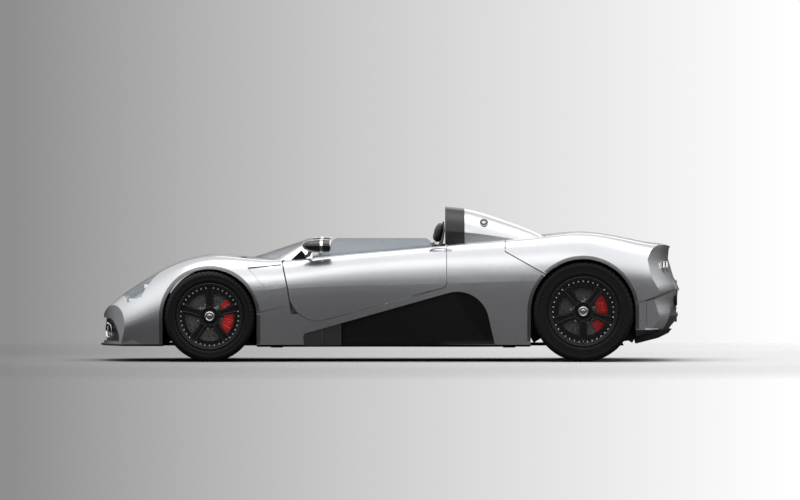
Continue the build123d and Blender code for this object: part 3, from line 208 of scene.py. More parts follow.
PAINT = make_paint("silver_paint")
PAINT_SILL = make_paint("silver_paint_sill", 0.1235)
TRIM = finish("dark_trim", (0.012, 0.012, 0.013), (0.022, 0.022, 0.024), 0.38, 0.06, grain_size=0.004, relief=0.0002)
STRUCTURE = finish("structure", (0.030, 0.031, 0.033), (0.05, 0.05, 0.052), 0.55, 0.08, grain_size=0.02, relief=0.0004)
LINER = finish("liner", (0.010, 0.010, 0.010), (0.022, 0.022, 0.022), 0.85, 0.08, grain_size=0.006, relief=0.0008)
RUBBER = finish("rubber", (0.0045, 0.0045, 0.0047), (0.0085, 0.0085, 0.0088), 0.50, 0.08, grain_size=0.008,
                relief=0.0002, Specular_IOR_Level=0.22)
RIM_BLACK = finish("rim_black", (0.004, 0.004, 0.0045), (0.008, 0.008, 0.0085), 0.30, 0.05, grain_size=0.01,
                   Specular_IOR_Level=0.35)
RIM_SATIN = finish("rim_satin", (0.045, 0.045, 0.047), (0.065, 0.065, 0.068), 0.28, 0.05, 0.9, 0.01)
DISC_STEEL = finish("disc_steel", (0.16, 0.16, 0.165), (0.24, 0.24, 0.245), 0.34, 0.08, 1.0, 0.02)
ALLOY = finish("alloy", (0.42, 0.43, 0.44), (0.55, 0.55, 0.56), 0.40, 0.08, 1.0, 0.01, 0.0002)
CALIPER_RED = finish("caliper_red", (0.86, 0.014, 0.010), (0.96, 0.028, 0.020), 0.34, 0.05, grain_size=0.012,
                     relief=0.0002, Coat_Weight=0.5, Coat_Roughness=0.12)
STEEL = finish("steel", (0.33, 0.33, 0.34), (0.46, 0.46, 0.47), 0.36, 0.08, 1.0, 0.01)
EXHAUST_METAL = finish("exhaust_metal", (0.38, 0.35, 0.31), (0.52, 0.49, 0.45), 0.30, 0.10, 1.0, 0.05)
LEATHER = finish("leather", (0.014, 0.013, 0.013), (0.026, 0.025, 0.024), 0.46, 0.10, grain_size=0.003, relief=0.0006,
                 Specular_IOR_Level=0.4)
LEATHER_SIDE = finish("leather_side", (0.018, 0.017, 0.017), (0.032, 0.031, 0.030), 0.42, 0.08, grain_size=0.0025,
                      relief=0.0005, Specular_IOR_Level=0.4)
SHELL_BLACK = finish("shell_black", (0.008, 0.008, 0.009), (0.020, 0.020, 0.021), 0.22, 0.05, grain_size=0.004,
                     stretch=(1, 3, 1), Coat_Weight=0.6)
PIPING = finish("piping", (0.16, 0.16, 0.165), (0.22, 0.22, 0.225), 0.45, 0.06, grain_size=0.003)
THREAD = finish("thread", (0.50, 0.50, 0.50), (0.62, 0.62, 0.61), 0.60, 0.08, grain_size=0.002)
WEBBING = finish("webbing", (0.020, 0.020, 0.021), (0.045, 0.045, 0.047), 0.70, 0.08, grain_size=0.0016, relief=0.0004,
                 stretch=(1, 4, 1))
SCREEN_GLASS = finish("screen_glass", (0.006, 0.007, 0.009), (0.010, 0.011, 0.014), 0.06, 0.02, grain_size=0.05,
                      Coat_Weight=1.0)
CHROME = finish("chrome", (0.80, 0.81, 0.83), (0.88, 0.88, 0.90), 0.10, 0.03, 1.0, 0.02)
# The arch lips' satin grey, darker than the paint, is painted shade standing for the lips' outward and downward faces
LIP_PAINTED_SHADE = finish("arch_lip_painted_shade", (0.16, 0.162, 0.168), (0.21, 0.212, 0.218), 0.36, 0.05, 0.8, 0.02)
MIRROR = finish("mirror_silver", (0.88, 0.89, 0.90), (0.92, 0.92, 0.93), 0.03, 0.01, 1.0, 0.03)
GRILLE = finish("grille_wire", (0.012, 0.012, 0.013), (0.024, 0.024, 0.026), 0.42, 0.06, grain_size=0.004)
STEP_GREY = finish("step_grey", (0.20, 0.20, 0.21), (0.28, 0.28, 0.29), 0.40, 0.05, 0.6, 0.01)
LENS = finish("lamp_lens", (0.62, 0.66, 0.70), (0.70, 0.74, 0.78), 0.06, 0.02, grain_size=0.01, Coat_Weight=1.0)
LAMP_RED = finish("lamp_red", (0.42, 0.006, 0.006), (0.56, 0.012, 0.010), 0.16, 0.04, grain_size=0.006,
                  relief=0.0002, Coat_Weight=1.0)
BOLT_STEEL = finish("bolt_steel", (0.78, 0.79, 0.80), (0.88, 0.89, 0.90), 0.36, 0.06, 0.30, 0.004)
CARPET = finish("carpet", (0.012, 0.012, 0.013), (0.034, 0.034, 0.036), 0.92, 0.05, grain_size=0.002, relief=0.0012)
PLATE_WHITE = finish("plate_white", (0.70, 0.70, 0.69), (0.76, 0.76, 0.75), 0.42, 0.05, grain_size=0.02)
MIRROR_SHELL = banded("mirror_shell", (0.010, 0.010, 0.011), (0.78, 0.79, 0.80), "X", -0.508, -0.488, 0.20, 1.0,
                      Coat_Weight=0.5)
INTAKE_BLACK = banded("intake_black", (0.006, 0.006, 0.0065), (0.085, 0.086, 0.090), "X", -0.70, -0.3555, 0.42, 0.5,
                      Specular_IOR_Level=0.3)
FOG_SHELL = banded("fog_lamp", (0.010, 0.010, 0.011), (0.80, 0.81, 0.83), "Z", 0.10, 0.219, 0.14, 1.0,
                   Coat_Weight=1.0)
GLASS = make_glass("glass_clear", (0.50, 0.58, 0.66), 0.34)
LAMP_GLASS = make_glass("glass_lamp", (0.55, 0.64, 0.74), 0.24)

FINISHES = (
    (PAINT, "front_wings bonnet rear_clam rear_bumper door_left door_right head_fairings screen_frame tail_lamps"),
    (PAINT_SILL, "centre_body"),
    (TRIM, "roll_hoops splitter diffuser nose_insert underfloor console filler_cap"),
    (MIRROR_SHELL, "mirror_left mirror_right"),
    (INTAKE_BLACK, "side_intakes"),
    (FOG_SHELL, "fog_lamps"),
    (LINER, "wheel_liners luggage_tray"),
    (STRUCTURE, "chassis"),
    (STEEL, "door_hinges suspension_arms"),
    (ALLOY, "engine carriers_rear knuckle_left knuckle_right"),
    (EXHAUST_METAL, "exhaust"),
    (CALIPER_RED, "calipers_rear caliper_front_left caliper_front_right"),
    (LEATHER, "dashboard seat_left seat_right steering_wheel"),
    (GLASS, "windscreen door_glass_left door_glass_right"),
    (LAMP_GLASS, "headlamp_covers"),
    (CHROME, "headlamp_bowls"),
    (RUBBER, "tyre_front_left tyre_front_right tyre_rear_left tyre_rear_right"),
    (RIM_BLACK, "rim_front_left rim_front_right rim_rear_left rim_rear_right"),
    (DISC_STEEL, "brake_disc_front_left brake_disc_front_right brake_disc_rear_left brake_disc_rear_right"),
)
for material, nodes in FINISHES:
    for node in nodes.split():
        NODES[node].data.materials.clear()
        NODES[node].data.materials.append(material)


def soften_creases(node, behind, degrees):
    """Blends the shading across the shallow creases of a node behind a place, and keeps its steep edges sharp."""
    mesh = NODES[node].data
    normals = [Vector(corner.vector) for corner in mesh.corner_normals]
    meeting = {}
    for loop in mesh.loops:
        spot = mesh.vertices[loop.vertex_index].co
        if spot.x > behind:
            meeting.setdefault(tuple(round(value, 4) for value in spot), []).append(loop.index)
    limit = math.cos(math.radians(degrees))
    softened = list(normals)
    for corners in meeting.values():
        for corner in corners:
            kept = []
            for other in corners:
                if normals[other].dot(normals[corner]) > limit and all(normals[other].dot(n) < 0.9999 for n in kept):
                    kept.append(normals[other])
            softened[corner] = sum(kept, Vector()).normalized()
    mesh.normals_split_custom_set(softened)


# The panels' loft bends a little at each station behind this place; edges steeper than this angle stay sharp
TAIL_STARTS = 1.80
STEEP_EDGE = 50.0
for node in ("rear_clam", "rear_bumper"):
    soften_creases(node, TAIL_STARTS, STEEP_EDGE)


# Mesh helpers. All sizes are in metres.

SHARP_ANGLE = math.radians(32.0)
# Where rays start: clear of the car beside it, ahead of it and behind it, and above the cabin's floor and the engine
BESIDE, AHEAD, BEHIND, ABOVE = 1.6, -2.3, 2.4, 1.0


def add_piece(name, bm, material, body):
    """Makes the mesh a piece on a body, shaded smooth with its sharp edges kept."""
    bmesh.ops.recalc_face_normals(bm, faces=bm.faces)
    for face in bm.faces:
        face.smooth = True
    for edge in bm.edges:
        if len(edge.link_faces) == 2 and edge.calc_face_angle(0.0) > SHARP_ANGLE:
            edge.smooth = False
    mesh = bpy.data.meshes.new(name)
    bm.to_mesh(mesh)
    bm.free()
    mesh.materials.append(material)
    piece = bpy.data.objects.new(name, mesh)
    bpy.context.scene.collection.objects.link(piece)
    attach(piece, body)
    return piece


def circle(count):
    """Points of a circle of radius 1."""
    turns = [2 * math.pi * k / count for k in range(count)]
    return [(math.cos(turn), math.sin(turn)) for turn in turns]


def strip(bm, rows, closed_rows=False, closed_columns=False):
    """Quads between rows of points, each row as long as the next."""
    grid = [[bm.verts.new(point) for point in row] for row in rows]
    row_pairs = list(zip(grid, grid[1:])) + ([(grid[-1], grid[0])] if closed_rows else [])
    for first, second in row_pairs:
        count = len(first)
        for i in range(count if closed_columns else count - 1):
            j = (i + 1) % count
            bm.faces.new((first[i], first[j], second[j], second[i]))
    return grid


def capped(bm, rows):
    """A closed form: rings of points joined in turn, with a face on the first and on the last."""
    grid = strip(bm, rows, closed_columns=True)
    bm.faces.new(grid[0])
    bm.faces.new(grid[-1])


def lathe(bm, profile, centre, axis, segments, closed=False):
    """Turns (radius, distance along the axis) points about an axis through the centre."""
    axis = Vector(axis).normalized()
    side = axis.orthogonal().normalized()
    other = axis.cross(side)
    centre = Vector(centre)
    rows = []
    for c, s in circle(segments):
        out = side * c + other * s
        rows.append([centre + out * radius + axis * along for radius, along in profile])
    grid = strip(bm, rows, closed_rows=True, closed_columns=closed)
    if not closed:
        for end in (0, -1):
            if profile[end][0] < 1e-6:
                bmesh.ops.remove_doubles(bm, verts=[row[end] for row in grid], dist=1e-5)
            else:
                bm.faces.new([row[end] for row in grid])


def stud(bm, centre, axis, radius, height, top_radius, top, segments):
    """A knob or bolt head: a short cylinder with its upper edge taken off."""
    lathe(bm, [(radius, 0.0), (radius, height), (top_radius, top), (0.0, top)], centre, axis, segments)


def tube(bm, points, radius, sides, closed=False, flat=1.0):
    """Round bar along points; radius is one number or one for each point, flat squashes it along the bend's axis."""
    points = [Vector(point) for point in points]
    count = len(points)
    radii = radius if isinstance(radius, list) else [radius] * count
    rows = []
    normal = None
    for i, point in enumerate(points):
        before = points[i - 1] if i or closed else point
        after = points[(i + 1) % count] if i < count - 1 or closed else point
        along = (after - before).normalized()
        if normal is None:
            normal = along.orthogonal().normalized()
        normal = (normal - along * normal.dot(along)).normalized()
        other = along.cross(normal)
        rows.append([point + (normal * c + other * s * flat) * radii[i] for c, s in circle(sides)])
    if closed:
        strip(bm, rows, closed_rows=True, closed_columns=True)
    else:
        capped(bm, rows)


def smooth_path(points, steps):
    """Catmull-Rom points through the given ones."""
    points = [Vector(point) for point in points]
    ends = [points[0] * 2 - points[1]] + points + [points[-1] * 2 - points[-2]]
    path = []
    for i in range(1, len(ends) - 2):
        p0, p1, p2, p3 = ends[i - 1:i + 3]
        for k in range(steps):
            t = k / steps
            path.append(0.5 * ((2 * p1) + (p2 - p0) * t + (2 * p0 - 5 * p1 + 4 * p2 - p3) * t * t
                               + (3 * p1 - p0 - 3 * p2 + p3) * t * t * t))
    return path + [points[-1]]


def slab(bm, outline, lift, bevel):
    """Flat plate: the outline's points carried along the vector lift, its edges rounded."""
    lift = Vector(lift)
    low = [bm.verts.new(point) for point in outline]
    high = [bm.verts.new(Vector(point) + lift) for point in outline]
    faces = [bm.faces.new(low), bm.faces.new(high)]
    count = len(low)
    for i in range(count):
        faces.append(bm.faces.new((low[i], low[(i + 1) % count], high[(i + 1) % count], high[i])))
    if bevel:
        edges = {edge for face in faces for edge in face.edges}
        bmesh.ops.bevel(bm, geom=list(edges), offset=bevel, segments=2, affect="EDGES", clamp_overlap=True)


def brick(bm, centre, size, bevel=0.0, turn=None):
    """Rounded block; turn is a rotation matrix."""
    half = Vector(size) / 2
    turn = turn or Matrix.Identity(3)
    corners = [(-half.x, -half.y), (half.x, -half.y), (half.x, half.y), (-half.x, half.y)]
    outline = [Vector(centre) + turn @ Vector((x, y, -half.z)) for x, y in corners]
    slab(bm, outline, turn @ Vector((0, 0, size[2])), bevel)


def thicken(bm, thickness):
    bmesh.ops.recalc_face_normals(bm, faces=bm.faces)
    bmesh.ops.solidify(bm, geom=bm.faces[:], thickness=thickness)


def tree_of(node):
    mesh = NODES[node].data
    return BVHTree.FromPolygons([v.co for v in mesh.vertices], [p.vertices for p in mesh.polygons])


def cast(tree, start, direction):
    """Place and outward normal where a ray first meets the surface, or None."""
    direction = Vector(direction).normalized()
    spot, normal, _, _ = tree.ray_cast(Vector(start), direction)
    if spot is None:
        return None
    return spot, (normal if normal.dot(direction) < 0 else -normal)


def from_side(tree, x, z, sign):
    return cast(tree, (x, sign * BESIDE, z), (0, -sign, 0))


def from_front(tree, y, z):
    return cast(tree, (AHEAD, y, z), (1, 0, 0))


def from_behind(tree, y, z):
    return cast(tree, (BEHIND, y, z), (-1, 0, 0))


def from_above(tree, x, y):
    return cast(tree, (x, y, ABOVE), (0, 0, -1))


def lifted(met, lift):
    """A little way off the surface at a place that a ray met."""
    return met[0] + met[1] * lift


# Wheels

WHEEL = {
    "front": {"half": 0.1085, "tyre": 0.1225, "radius": 0.328, "bead": 0.229, "spoke": 90.0, "bolts": 0.2085},
    "rear": {"half": 0.1485, "tyre": 0.1625, "radius": 0.364, "bead": 0.241, "spoke": 54.0, "bolts": 0.2190},
}
SPOKES = 5
BOLTS_BETWEEN = 7
BOLT_STEP = 9.4
DISC_SIDES = (0.010, 0.042)
DISC_RADII = (0.080, 0.178)
DISC_PLATE = 0.011
CALIPER_FACE = 0.0655


class WheelFrame:
    """Points of one wheel by radius, angle above the way to the tail, and distance outward."""

    def __init__(self, axle, side, sign):
        self.axle, self.side, self.sign = axle, side, sign
        self.centre = WHEEL_CENTRE[axle, side]
        self.body = f"wheel_{axle}_{side}"
        self.outward = Vector((0.0, sign, 0.0))
        self.sizes = WHEEL[axle]

    def at(self, radius, degrees, out):
        turn = math.radians(degrees)
        return self.centre + Vector((radius * math.cos(turn), self.sign * out, radius * math.sin(turn)))

    def name(self, word):
        return f"{word}_{self.axle}_{self.side}"

    def add(self, word, bm, material, slot, body=None):
        return add_piece(self.name(word), bm, material, body or self.body)


def make_tyre(wheel):
    """Tyre with bead, sidewall rings, rounded shoulders, ribs and slanting grooves."""
    half, radius, bead = wheel.sizes["tyre"], wheel.sizes["radius"], wheel.sizes["bead"]
    shoulder = 0.034
    side = [(half - 0.014, bead + 0.0005), (half - 0.014, bead + 0.008), (half - 0.012, bead + 0.013),
            (half - 0.011, bead + 0.015), (half - 0.006, bead + 0.021), (half - 0.004, bead + 0.027),
            (half - 0.0035, bead + 0.034), (half - 0.0015, bead + 0.036), (half - 0.0015, bead + 0.041),
            (half - 0.0028, bead + 0.043), (half - 0.0024, radius - shoulder - 0.010),
            (half - 0.0004, radius - shoulder - 0.008), (half - 0.0004, radius - shoulder - 0.002)]
    side += [(half - shoulder + shoulder * math.cos(turn), radius - shoulder + shoulder * math.sin(turn))
             for turn in [math.radians(a) for a in (6, 16, 28, 40, 50, 60, 70, 80)]]
    flat = half - shoulder
    grooves = [flat * 0.72, flat * 0.25]
    tread = []
    for centre in grooves:
        for step, depth in ((0.0062, 0.0), (0.0042, 0.0065), (-0.0042, 0.0065), (-0.0062, 0.0)):
            tread.append((centre + step, radius - depth))
    half_profile = side + [(flat, radius)] + tread
    profile = half_profile + [(0.0, radius)] + [(-y, r) for y, r in half_profile[::-1]]
    lug_pitch = 6.0
    columns = [(0.0, 0.0), (0.35, 1.0), (1.25, 1.0), (1.6, 0.0), (3.8, 0.0)]
    rows = []
    for k in range(int(360 / lug_pitch)):
        for offset, cut in columns:
            row = []
            for y, r in profile:
                across = abs(y)
                slant = 0.0
                depth = 0.0
                if r > radius - 0.022 and across > grooves[0] + 0.006:
                    depth = 0.0045 * cut
                elif grooves[1] + 0.006 < across < grooves[0] - 0.006 or across < grooves[1] - 0.006:
                    depth = 0.0 if across < grooves[1] else 0.004 * cut
                if r > radius - 0.03:
                    slant = across / half * 5.0
                row.append(wheel.at(r - depth, lug_pitch * k + offset + slant, y))
            rows.append(row)
    bm = bmesh.new()
    grid = strip(bm, rows, closed_rows=True)
    # The inner wall between the beads closes the tyre
    for first, second in zip(grid, grid[1:] + grid[:1]):
        bm.faces.new((first[0], second[0], second[-1], first[-1]))
    tyre = wheel.add("treaded_tyre", bm, RUBBER, "tyre")
    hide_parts(wheel.name("tyre"))


def make_brake_disc(wheel):
    """Vented and drilled disc with its bell and fixing bobbins."""
    low, high = DISC_RADII
    inner, outer = DISC_SIDES
    bm = bmesh.new()

    def plate(out, thickness):
        edges = []
        loops = [(0.0, 0.0, high - 0.0006, 96), (0.0, 0.0, low, 64)]
        loops += [(0.102 + 0.0152 * ring, arm * 15.0 + ring * 5.2, 0.0036, 8) for arm in range(24) for ring in range(5)]
        for radius, degrees, size, count in loops:
            middle_x = radius * math.cos(math.radians(degrees))
            middle_z = radius * math.sin(math.radians(degrees))
            loop = [bm.verts.new(wheel.centre + Vector((middle_x + size * c, wheel.sign * out, middle_z + size * s)))
                    for c, s in circle(count)]
            edges += [bm.edges.new((loop[i], loop[(i + 1) % count])) for i in range(count)]
        faces = [f for f in bmesh.ops.triangle_fill(bm, use_beauty=True, edges=edges)["geom"]
                 if isinstance(f, bmesh.types.BMFace)]
        copied = bmesh.ops.extrude_face_region(bm, geom=faces, use_keep_orig=True)
        bmesh.ops.translate(bm, vec=wheel.outward * thickness,
                            verts=[v for v in copied["geom"] if isinstance(v, bmesh.types.BMVert)])

    plate(inner, DISC_PLATE)
    plate(outer - DISC_PLATE, DISC_PLATE)
    for k in range(36):
        vane = [wheel.at(r, k * 10.0 + (r - low) * 60, inner + 0.0105) for r in (0.088, 0.118, 0.148, 0.172)]
        strip(bm, [vane, [p + wheel.outward * 0.0108 for p in vane]])
    face = 0.055
    lathe(bm, [(0.0290, face - 0.0005), (0.0700, face), (0.0775, face - 0.002), (low, face - 0.005),
               (low, outer - 0.006), (low - 0.006, outer - 0.006), (low - 0.008, face - 0.008), (0.0290, face - 0.008)],
          wheel.centre, wheel.outward, 64, closed=True)
    disc = wheel.add("drilled_disc", bm, DISC_STEEL, "disc_metal")
    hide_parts(wheel.name("brake_disc"))
    bm = bmesh.new()
    for k in range(12):
        spot = wheel.at(0.0885, 20.0 + 30.0 * k, 0.0)
        lathe(bm, [(0.0078, outer - 0.002), (0.0078, outer + 0.006), (0.0064, outer + 0.0080),
                   (0.0034, outer + 0.0086), (0.0, outer + 0.0072)], spot, wheel.outward, 16)
    wheel.add("disc_bobbins", bm, BOLT_STEEL, "chrome")


def make_rim_detail(wheel):
    """Ribs along each spoke, rim bolts, hub rings and the centre cap."""
    half, sizes = wheel.sizes["half"], wheel.sizes
    face = half - 0.006
    ribs = bmesh.new()
    for k in range(SPOKES):
        degrees = sizes["spoke"] + 72.0 * k
        for edge in (-1, 1):
            path = []
            for radius, width in [(0.073, 0.0295), (0.092, 0.0262), (0.112, 0.0240), (0.150, 0.0262),
                                  (0.184, 0.0315), (0.206, 0.0335)]:
                aside = math.degrees(math.atan2(edge * (width - 0.008), radius))
                path.append(wheel.at(radius, degrees + aside, face + 0.0005))
            tube(ribs, smooth_path(path, 4), [0.0025] + [0.0062] * 19 + [0.003], 8)
        for radius, width in ((0.074, 0.0205), (0.205, 0.024)):
            path = [wheel.at(radius, degrees + math.degrees(math.atan2(y, radius)), face) for y in
                    (-width, -width * 0.5, 0.0, width * 0.5, width)]
            tube(ribs, path, 0.0048, 8)
    lathe(ribs, [(0.0700, face - 0.006), (0.0700, face + 0.001), (0.0682, face + 0.0035), (0.0655, face + 0.0045),
                 (0.0630, face + 0.0030), (0.0615, face - 0.003), (0.0560, face - 0.004), (0.0470, face - 0.0035),
                 (0.0440, face + 0.003), (0.0415, face + 0.005), (0.0385, face + 0.003), (0.0385, face - 0.006)],
          wheel.centre, wheel.outward, 64, closed=True)
    wheel.add("spoke_ribs", ribs, RIM_BLACK, "rim_black")

    bolts = bmesh.new()
    for k in range(SPOKES):
        for i in range(BOLTS_BETWEEN):
            degrees = sizes["spoke"] + 36.0 + 72.0 * k + BOLT_STEP * (i - (BOLTS_BETWEEN - 1) / 2)
            spot = wheel.at(sizes["bolts"], degrees, 0.0)
            lathe(bolts, [(0.0052, face - 0.001), (0.0052, face + 0.003), (0.0044, face + 0.0042),
                          (0.0020, face + 0.0042), (0.0017, face + 0.0026), (0.0, face + 0.0026)],
                  spot, wheel.outward, 10)
    wheel.add("rim_bolts", bolts, BOLT_STEEL, "chrome")

    cap = bmesh.new()
    top = face + 0.008
    lathe(cap, [(0.0366, top - 0.008), (0.0366, top + 0.0012), (0.0350, top + 0.0040), (0.0300, top + 0.0056),
                (0.0265, top + 0.0050), (0.0245, top + 0.0032), (0.0200, top + 0.0030), (0.0186, top + 0.0046),
                (0.0100, top + 0.0058), (0.0, top + 0.0060)], wheel.centre, wheel.outward, 48)
    wheel.add("centre_cap", cap, CHROME, "chrome")

    lip = bmesh.new()
    edge, out = sizes["bead"], half + 0.009
    lathe(lip, [(edge + 0.0110, out - 0.004), (edge + 0.0126, out - 0.0015), (edge + 0.0118, out + 0.0012),
                (edge + 0.0090, out + 0.0022), (edge + 0.0040, out + 0.0012), (edge - 0.0020, out + 0.0006),
                (edge - 0.0090, out + 0.0004), (edge - 0.0124, out - 0.002)],
          wheel.centre, wheel.outward, 96, closed=True)
    lathe(lip, [(edge - 0.0118, face + 0.0060), (edge - 0.0118, face + 0.0010), (edge - 0.0170, face + 0.0006),
                (edge - 0.0150, face + 0.0030)], wheel.centre, wheel.outward, 96, closed=True)
    wheel.add("rim_lip", lip, RIM_SATIN, "rim_black")

    valve = bmesh.new()
    spot = wheel.at(edge - 0.0185, sizes["spoke"] + 72.0 * 3, face - 0.002)
    inward = (wheel.centre - spot)
    inward.y = 0.0
    lathe(valve, [(0.0036, -0.004), (0.0036, 0.012), (0.0045, 0.013), (0.0045, 0.020), (0.0030, 0.022), (0.0, 0.022)],
          spot, inward.normalized() * 0.4 + wheel.outward, 12)
    wheel.add("tyre_valve", valve, STEEL, "steel")


def make_caliper_detail(wheel):
    """Piston bosses, bridge ribs, an edge rib, end blocks and bolts on a caliper."""
    body = f"steered_{wheel.side}" if wheel.axle == "front" else "car"
    bm = bmesh.new()
    for degrees in (-20.0, 0.0, 20.0):
        spot = wheel.at(0.152, degrees, 0.0)
        lathe(bm, [(0.0215, 0.0650), (0.0215, 0.0675), (0.0195, 0.0700), (0.0150, 0.0708), (0.0, 0.0712)],
              spot, wheel.outward, 28)
    low, high = 0.112, 0.196
    for degrees in (-31.0, -10.0, 10.0, 31.0):
        path = [wheel.at(low + (high - low) * t, degrees, CALIPER_FACE) for t in (0.0, 0.2, 0.5, 0.8, 1.0)]
        tube(bm, path, [0.003, 0.0052, 0.0056, 0.0052, 0.003], 8)
    rim = [wheel.at(0.2015, degrees, CALIPER_FACE) for degrees in range(-34, 35, 4)]
    tube(bm, rim, [0.002] + [0.0042] * (len(rim) - 2) + [0.002], 8)
    for degrees in (range(33, 47, 2), range(-57, -32, 3)):
        edge = [wheel.at(0.112, a, 0.0490) for a in degrees] + [wheel.at(0.198, a, 0.0490) for a in reversed(degrees)]
        slab(bm, edge, wheel.outward * 0.0160, 0.004)
    wheel.add("caliper_ribs", bm, CALIPER_RED, "caliper_red", body)
    bm = bmesh.new()
    for degrees in (-31.0, 31.0):
        for radius in (0.124, 0.188):
            spot = wheel.at(radius, degrees, 0.0)
            lathe(bm, [(0.0058, 0.0660), (0.0058, 0.0735), (0.0048, 0.0745), (0.0030, 0.0745), (0.0026, 0.0720),
                       (0.0, 0.0720)], spot, wheel.outward, 6)
    wheel.add("caliper_bolts", bm, STEEL, "steel", body)


for axle in ("front", "rear"):
    for side, sign in SIDES:
        wheel = WheelFrame(axle, side, sign)
        make_tyre(wheel)
        make_brake_disc(wheel)
        make_rim_detail(wheel)
        make_caliper_detail(wheel)


# Body details

DOOR_SIDES = [("left", -1, "door_left"), ("right", 1, "door_right")]
# The arch lips: width, section as share of the width and height, and where the panels count as the car's flank
LIP_WIDTH = 0.0225
LIP_SECTION = ((0.0, -0.002), (0.0, 0.0026), (0.25, 0.0036), (0.75, 0.0036), (1.0, 0.0022), (1.0, -0.002))
FLANK_Y, FLANK_FACING = 0.80, 0.35
SILL_FOOT = 0.127
GRILLE_WIRE = 0.0015
TAIL_LAMP_Z = 0.676
PLATE_Z = 0.462


def outermost(trees, x, z, sign):
    """The outermost of several nodes at a place seen from the side: node, place and normal."""
    best = None
    for node, tree in trees.items():
        met = from_side(tree, x, z, sign)
        if met and (best is None or abs(met[0].y) > abs(best[1].y)):
            best = (node, *met)
    return best


def make_arch_lips():
    """A raised lip round each wheel arch, split where the panels meet; its darker grey is painted shade."""
    # Ways out from the wheel's centre: up the rear edge of the opening, round its top and down the front edge
    straight = [0.0125 * k for k in range(1, 18)]
    route = [(1, 0, -drop) for drop in reversed(straight)]
    route += [(math.cos(math.radians(step)), math.sin(math.radians(step)), 0.0) for step in range(0, 181, 2)]
    route += [(-1, 0, -drop) for drop in straight]
    for axle, widest, names in (("front", 0.3425, ("front_wings", "centre_body")),
                                ("rear", 0.3815, ("rear_clam", "centre_body", "rear_bumper"))):
        trees = {name: tree_of(name) for name in names}
        for side, sign in SIDES:
            centre = WHEEL_CENTRE[axle, side]

            def flank(radius, along, rise, drop):
                met = outermost(trees, centre.x + radius * along, centre.z + radius * rise + drop, sign)
                return met if met and abs(met[1].y) > FLANK_Y and abs(met[2].y) > FLANK_FACING else None

            runs = {}
            last = None
            for way in route:
                # The panel's true edge, found in steps of a millimetre
                steps = [widest - 0.001 * k for k in range(20, -1, -1)]
                inmost = next((radius + 0.0004 for radius in steps if flank(radius, *way)), widest)
                row, owners = [], set()
                for across, lift in LIP_SECTION:
                    met = flank(inmost + (widest + LIP_WIDTH - inmost) * across, *way)
                    if met is None or met[1].z < SILL_FOOT:
                        break
                    owners.add(met[0])
                    row.append(lifted(met[1:], lift))
                if len(row) < len(LIP_SECTION) or len(owners) > 1:
                    last = None
                    continue
                owner = met[0]
                if last != owner:
                    runs.setdefault(owner, []).append([])
                runs[owner][-1].append(row)
                last = owner
            for node, parts in runs.items():
                parts = [rows for rows in parts if len(rows) > 1]
                if parts:
                    bm = bmesh.new()
                    for rows in parts:
                        capped(bm, rows)
                    body = "rear_lid" if node == "rear_clam" else "car"
                    add_piece(f"arch_lip_{axle}_{side}_{node}", bm, LIP_PAINTED_SHADE, body)


def make_door_handles():
    """A chrome pull on the shoulder at the rear edge of each door."""
    for side, sign, node in DOOR_SIDES:
        trees = {name: tree_of(name) for name in (node, "centre_body")}
        path = []
        for x, z, lift in ((0.286, 0.800, 0.001), (0.296, 0.806, 0.008), (0.315, 0.809, 0.013), (0.350, 0.810, 0.015),
                           (0.385, 0.810, 0.015), (0.420, 0.810, 0.012), (0.445, 0.809, 0.009)):
            path.append(lifted(outermost(trees, x, z, sign)[1:], lift))
        line = smooth_path(path, 5)
        radii = [0.003 + 0.0045 * math.sin(math.pi * min(1.0, (i + 1) / len(line) * 1.5)) ** 0.5
                 if i < len(line) * 0.66 else 0.0075 - 0.004 * (i / len(line) - 0.66) / 0.34 for i in range(len(line))]
        bm = bmesh.new()
        tube(bm, line, radii, 10)
        add_piece(f"door_handle_{side}", bm, CHROME, node)


def make_mirrors():
    """Mirror glass and its chrome surround on each housing."""
    for side, sign, node in DOOR_SIDES:
        centre = Vector((-0.4362, sign * 0.895, 0.838))
        bm = bmesh.new()
        tube(bm, [centre + Vector((0.0016, 0.0775 * c, 0.0435 * s)) for c, s in circle(40)], 0.0032, 8, closed=True)
        add_piece(f"mirror_surround_{side}", bm, CHROME, node)
        bm = bmesh.new()
        capped(bm, [[centre + Vector((out, 0.0745 * scale * c, 0.0405 * scale * s)) for c, s in circle(40)]
                    for scale, out in ((0.99, 0.0), (0.985, 0.0025), (0.8, 0.0042), (0.5, 0.0052), (0.2, 0.0056))])
        add_piece(f"mirror_face_{side}", bm, MIRROR, node)


def make_grille(name, meet, columns, heights, pitch, inside=lambda u, v: True):
    """Crossed wires laid on a surface. meet gives the surface at a column and a height, and inside tells which places
    are kept."""
    bm = bmesh.new()
    (first, last), (low, high) = columns, heights
    step = pitch / 3
    for lean in (-1, 1):
        for k in range(int((last - first + high - low) / pitch) + 1):
            run = []
            for i in range(int((high - low) / step) + 1):
                v = low + step * i
                u = (first + pitch * k - (v - low)) if lean < 0 else (last - pitch * k + (v - low))
                met = meet(u, v) if first <= u <= last and inside(u, v) else None
                if met:
                    run.append(lifted(met, GRILLE_WIRE * (1.1 if (i + (lean > 0)) % 2 else 0.7)))
                    continue
                if len(run) > 2:
                    tube(bm, run, GRILLE_WIRE, 4)
                run = []
            if len(run) > 2:
                tube(bm, run, GRILLE_WIRE, 4)
    add_piece(name, bm, GRILLE, "car")


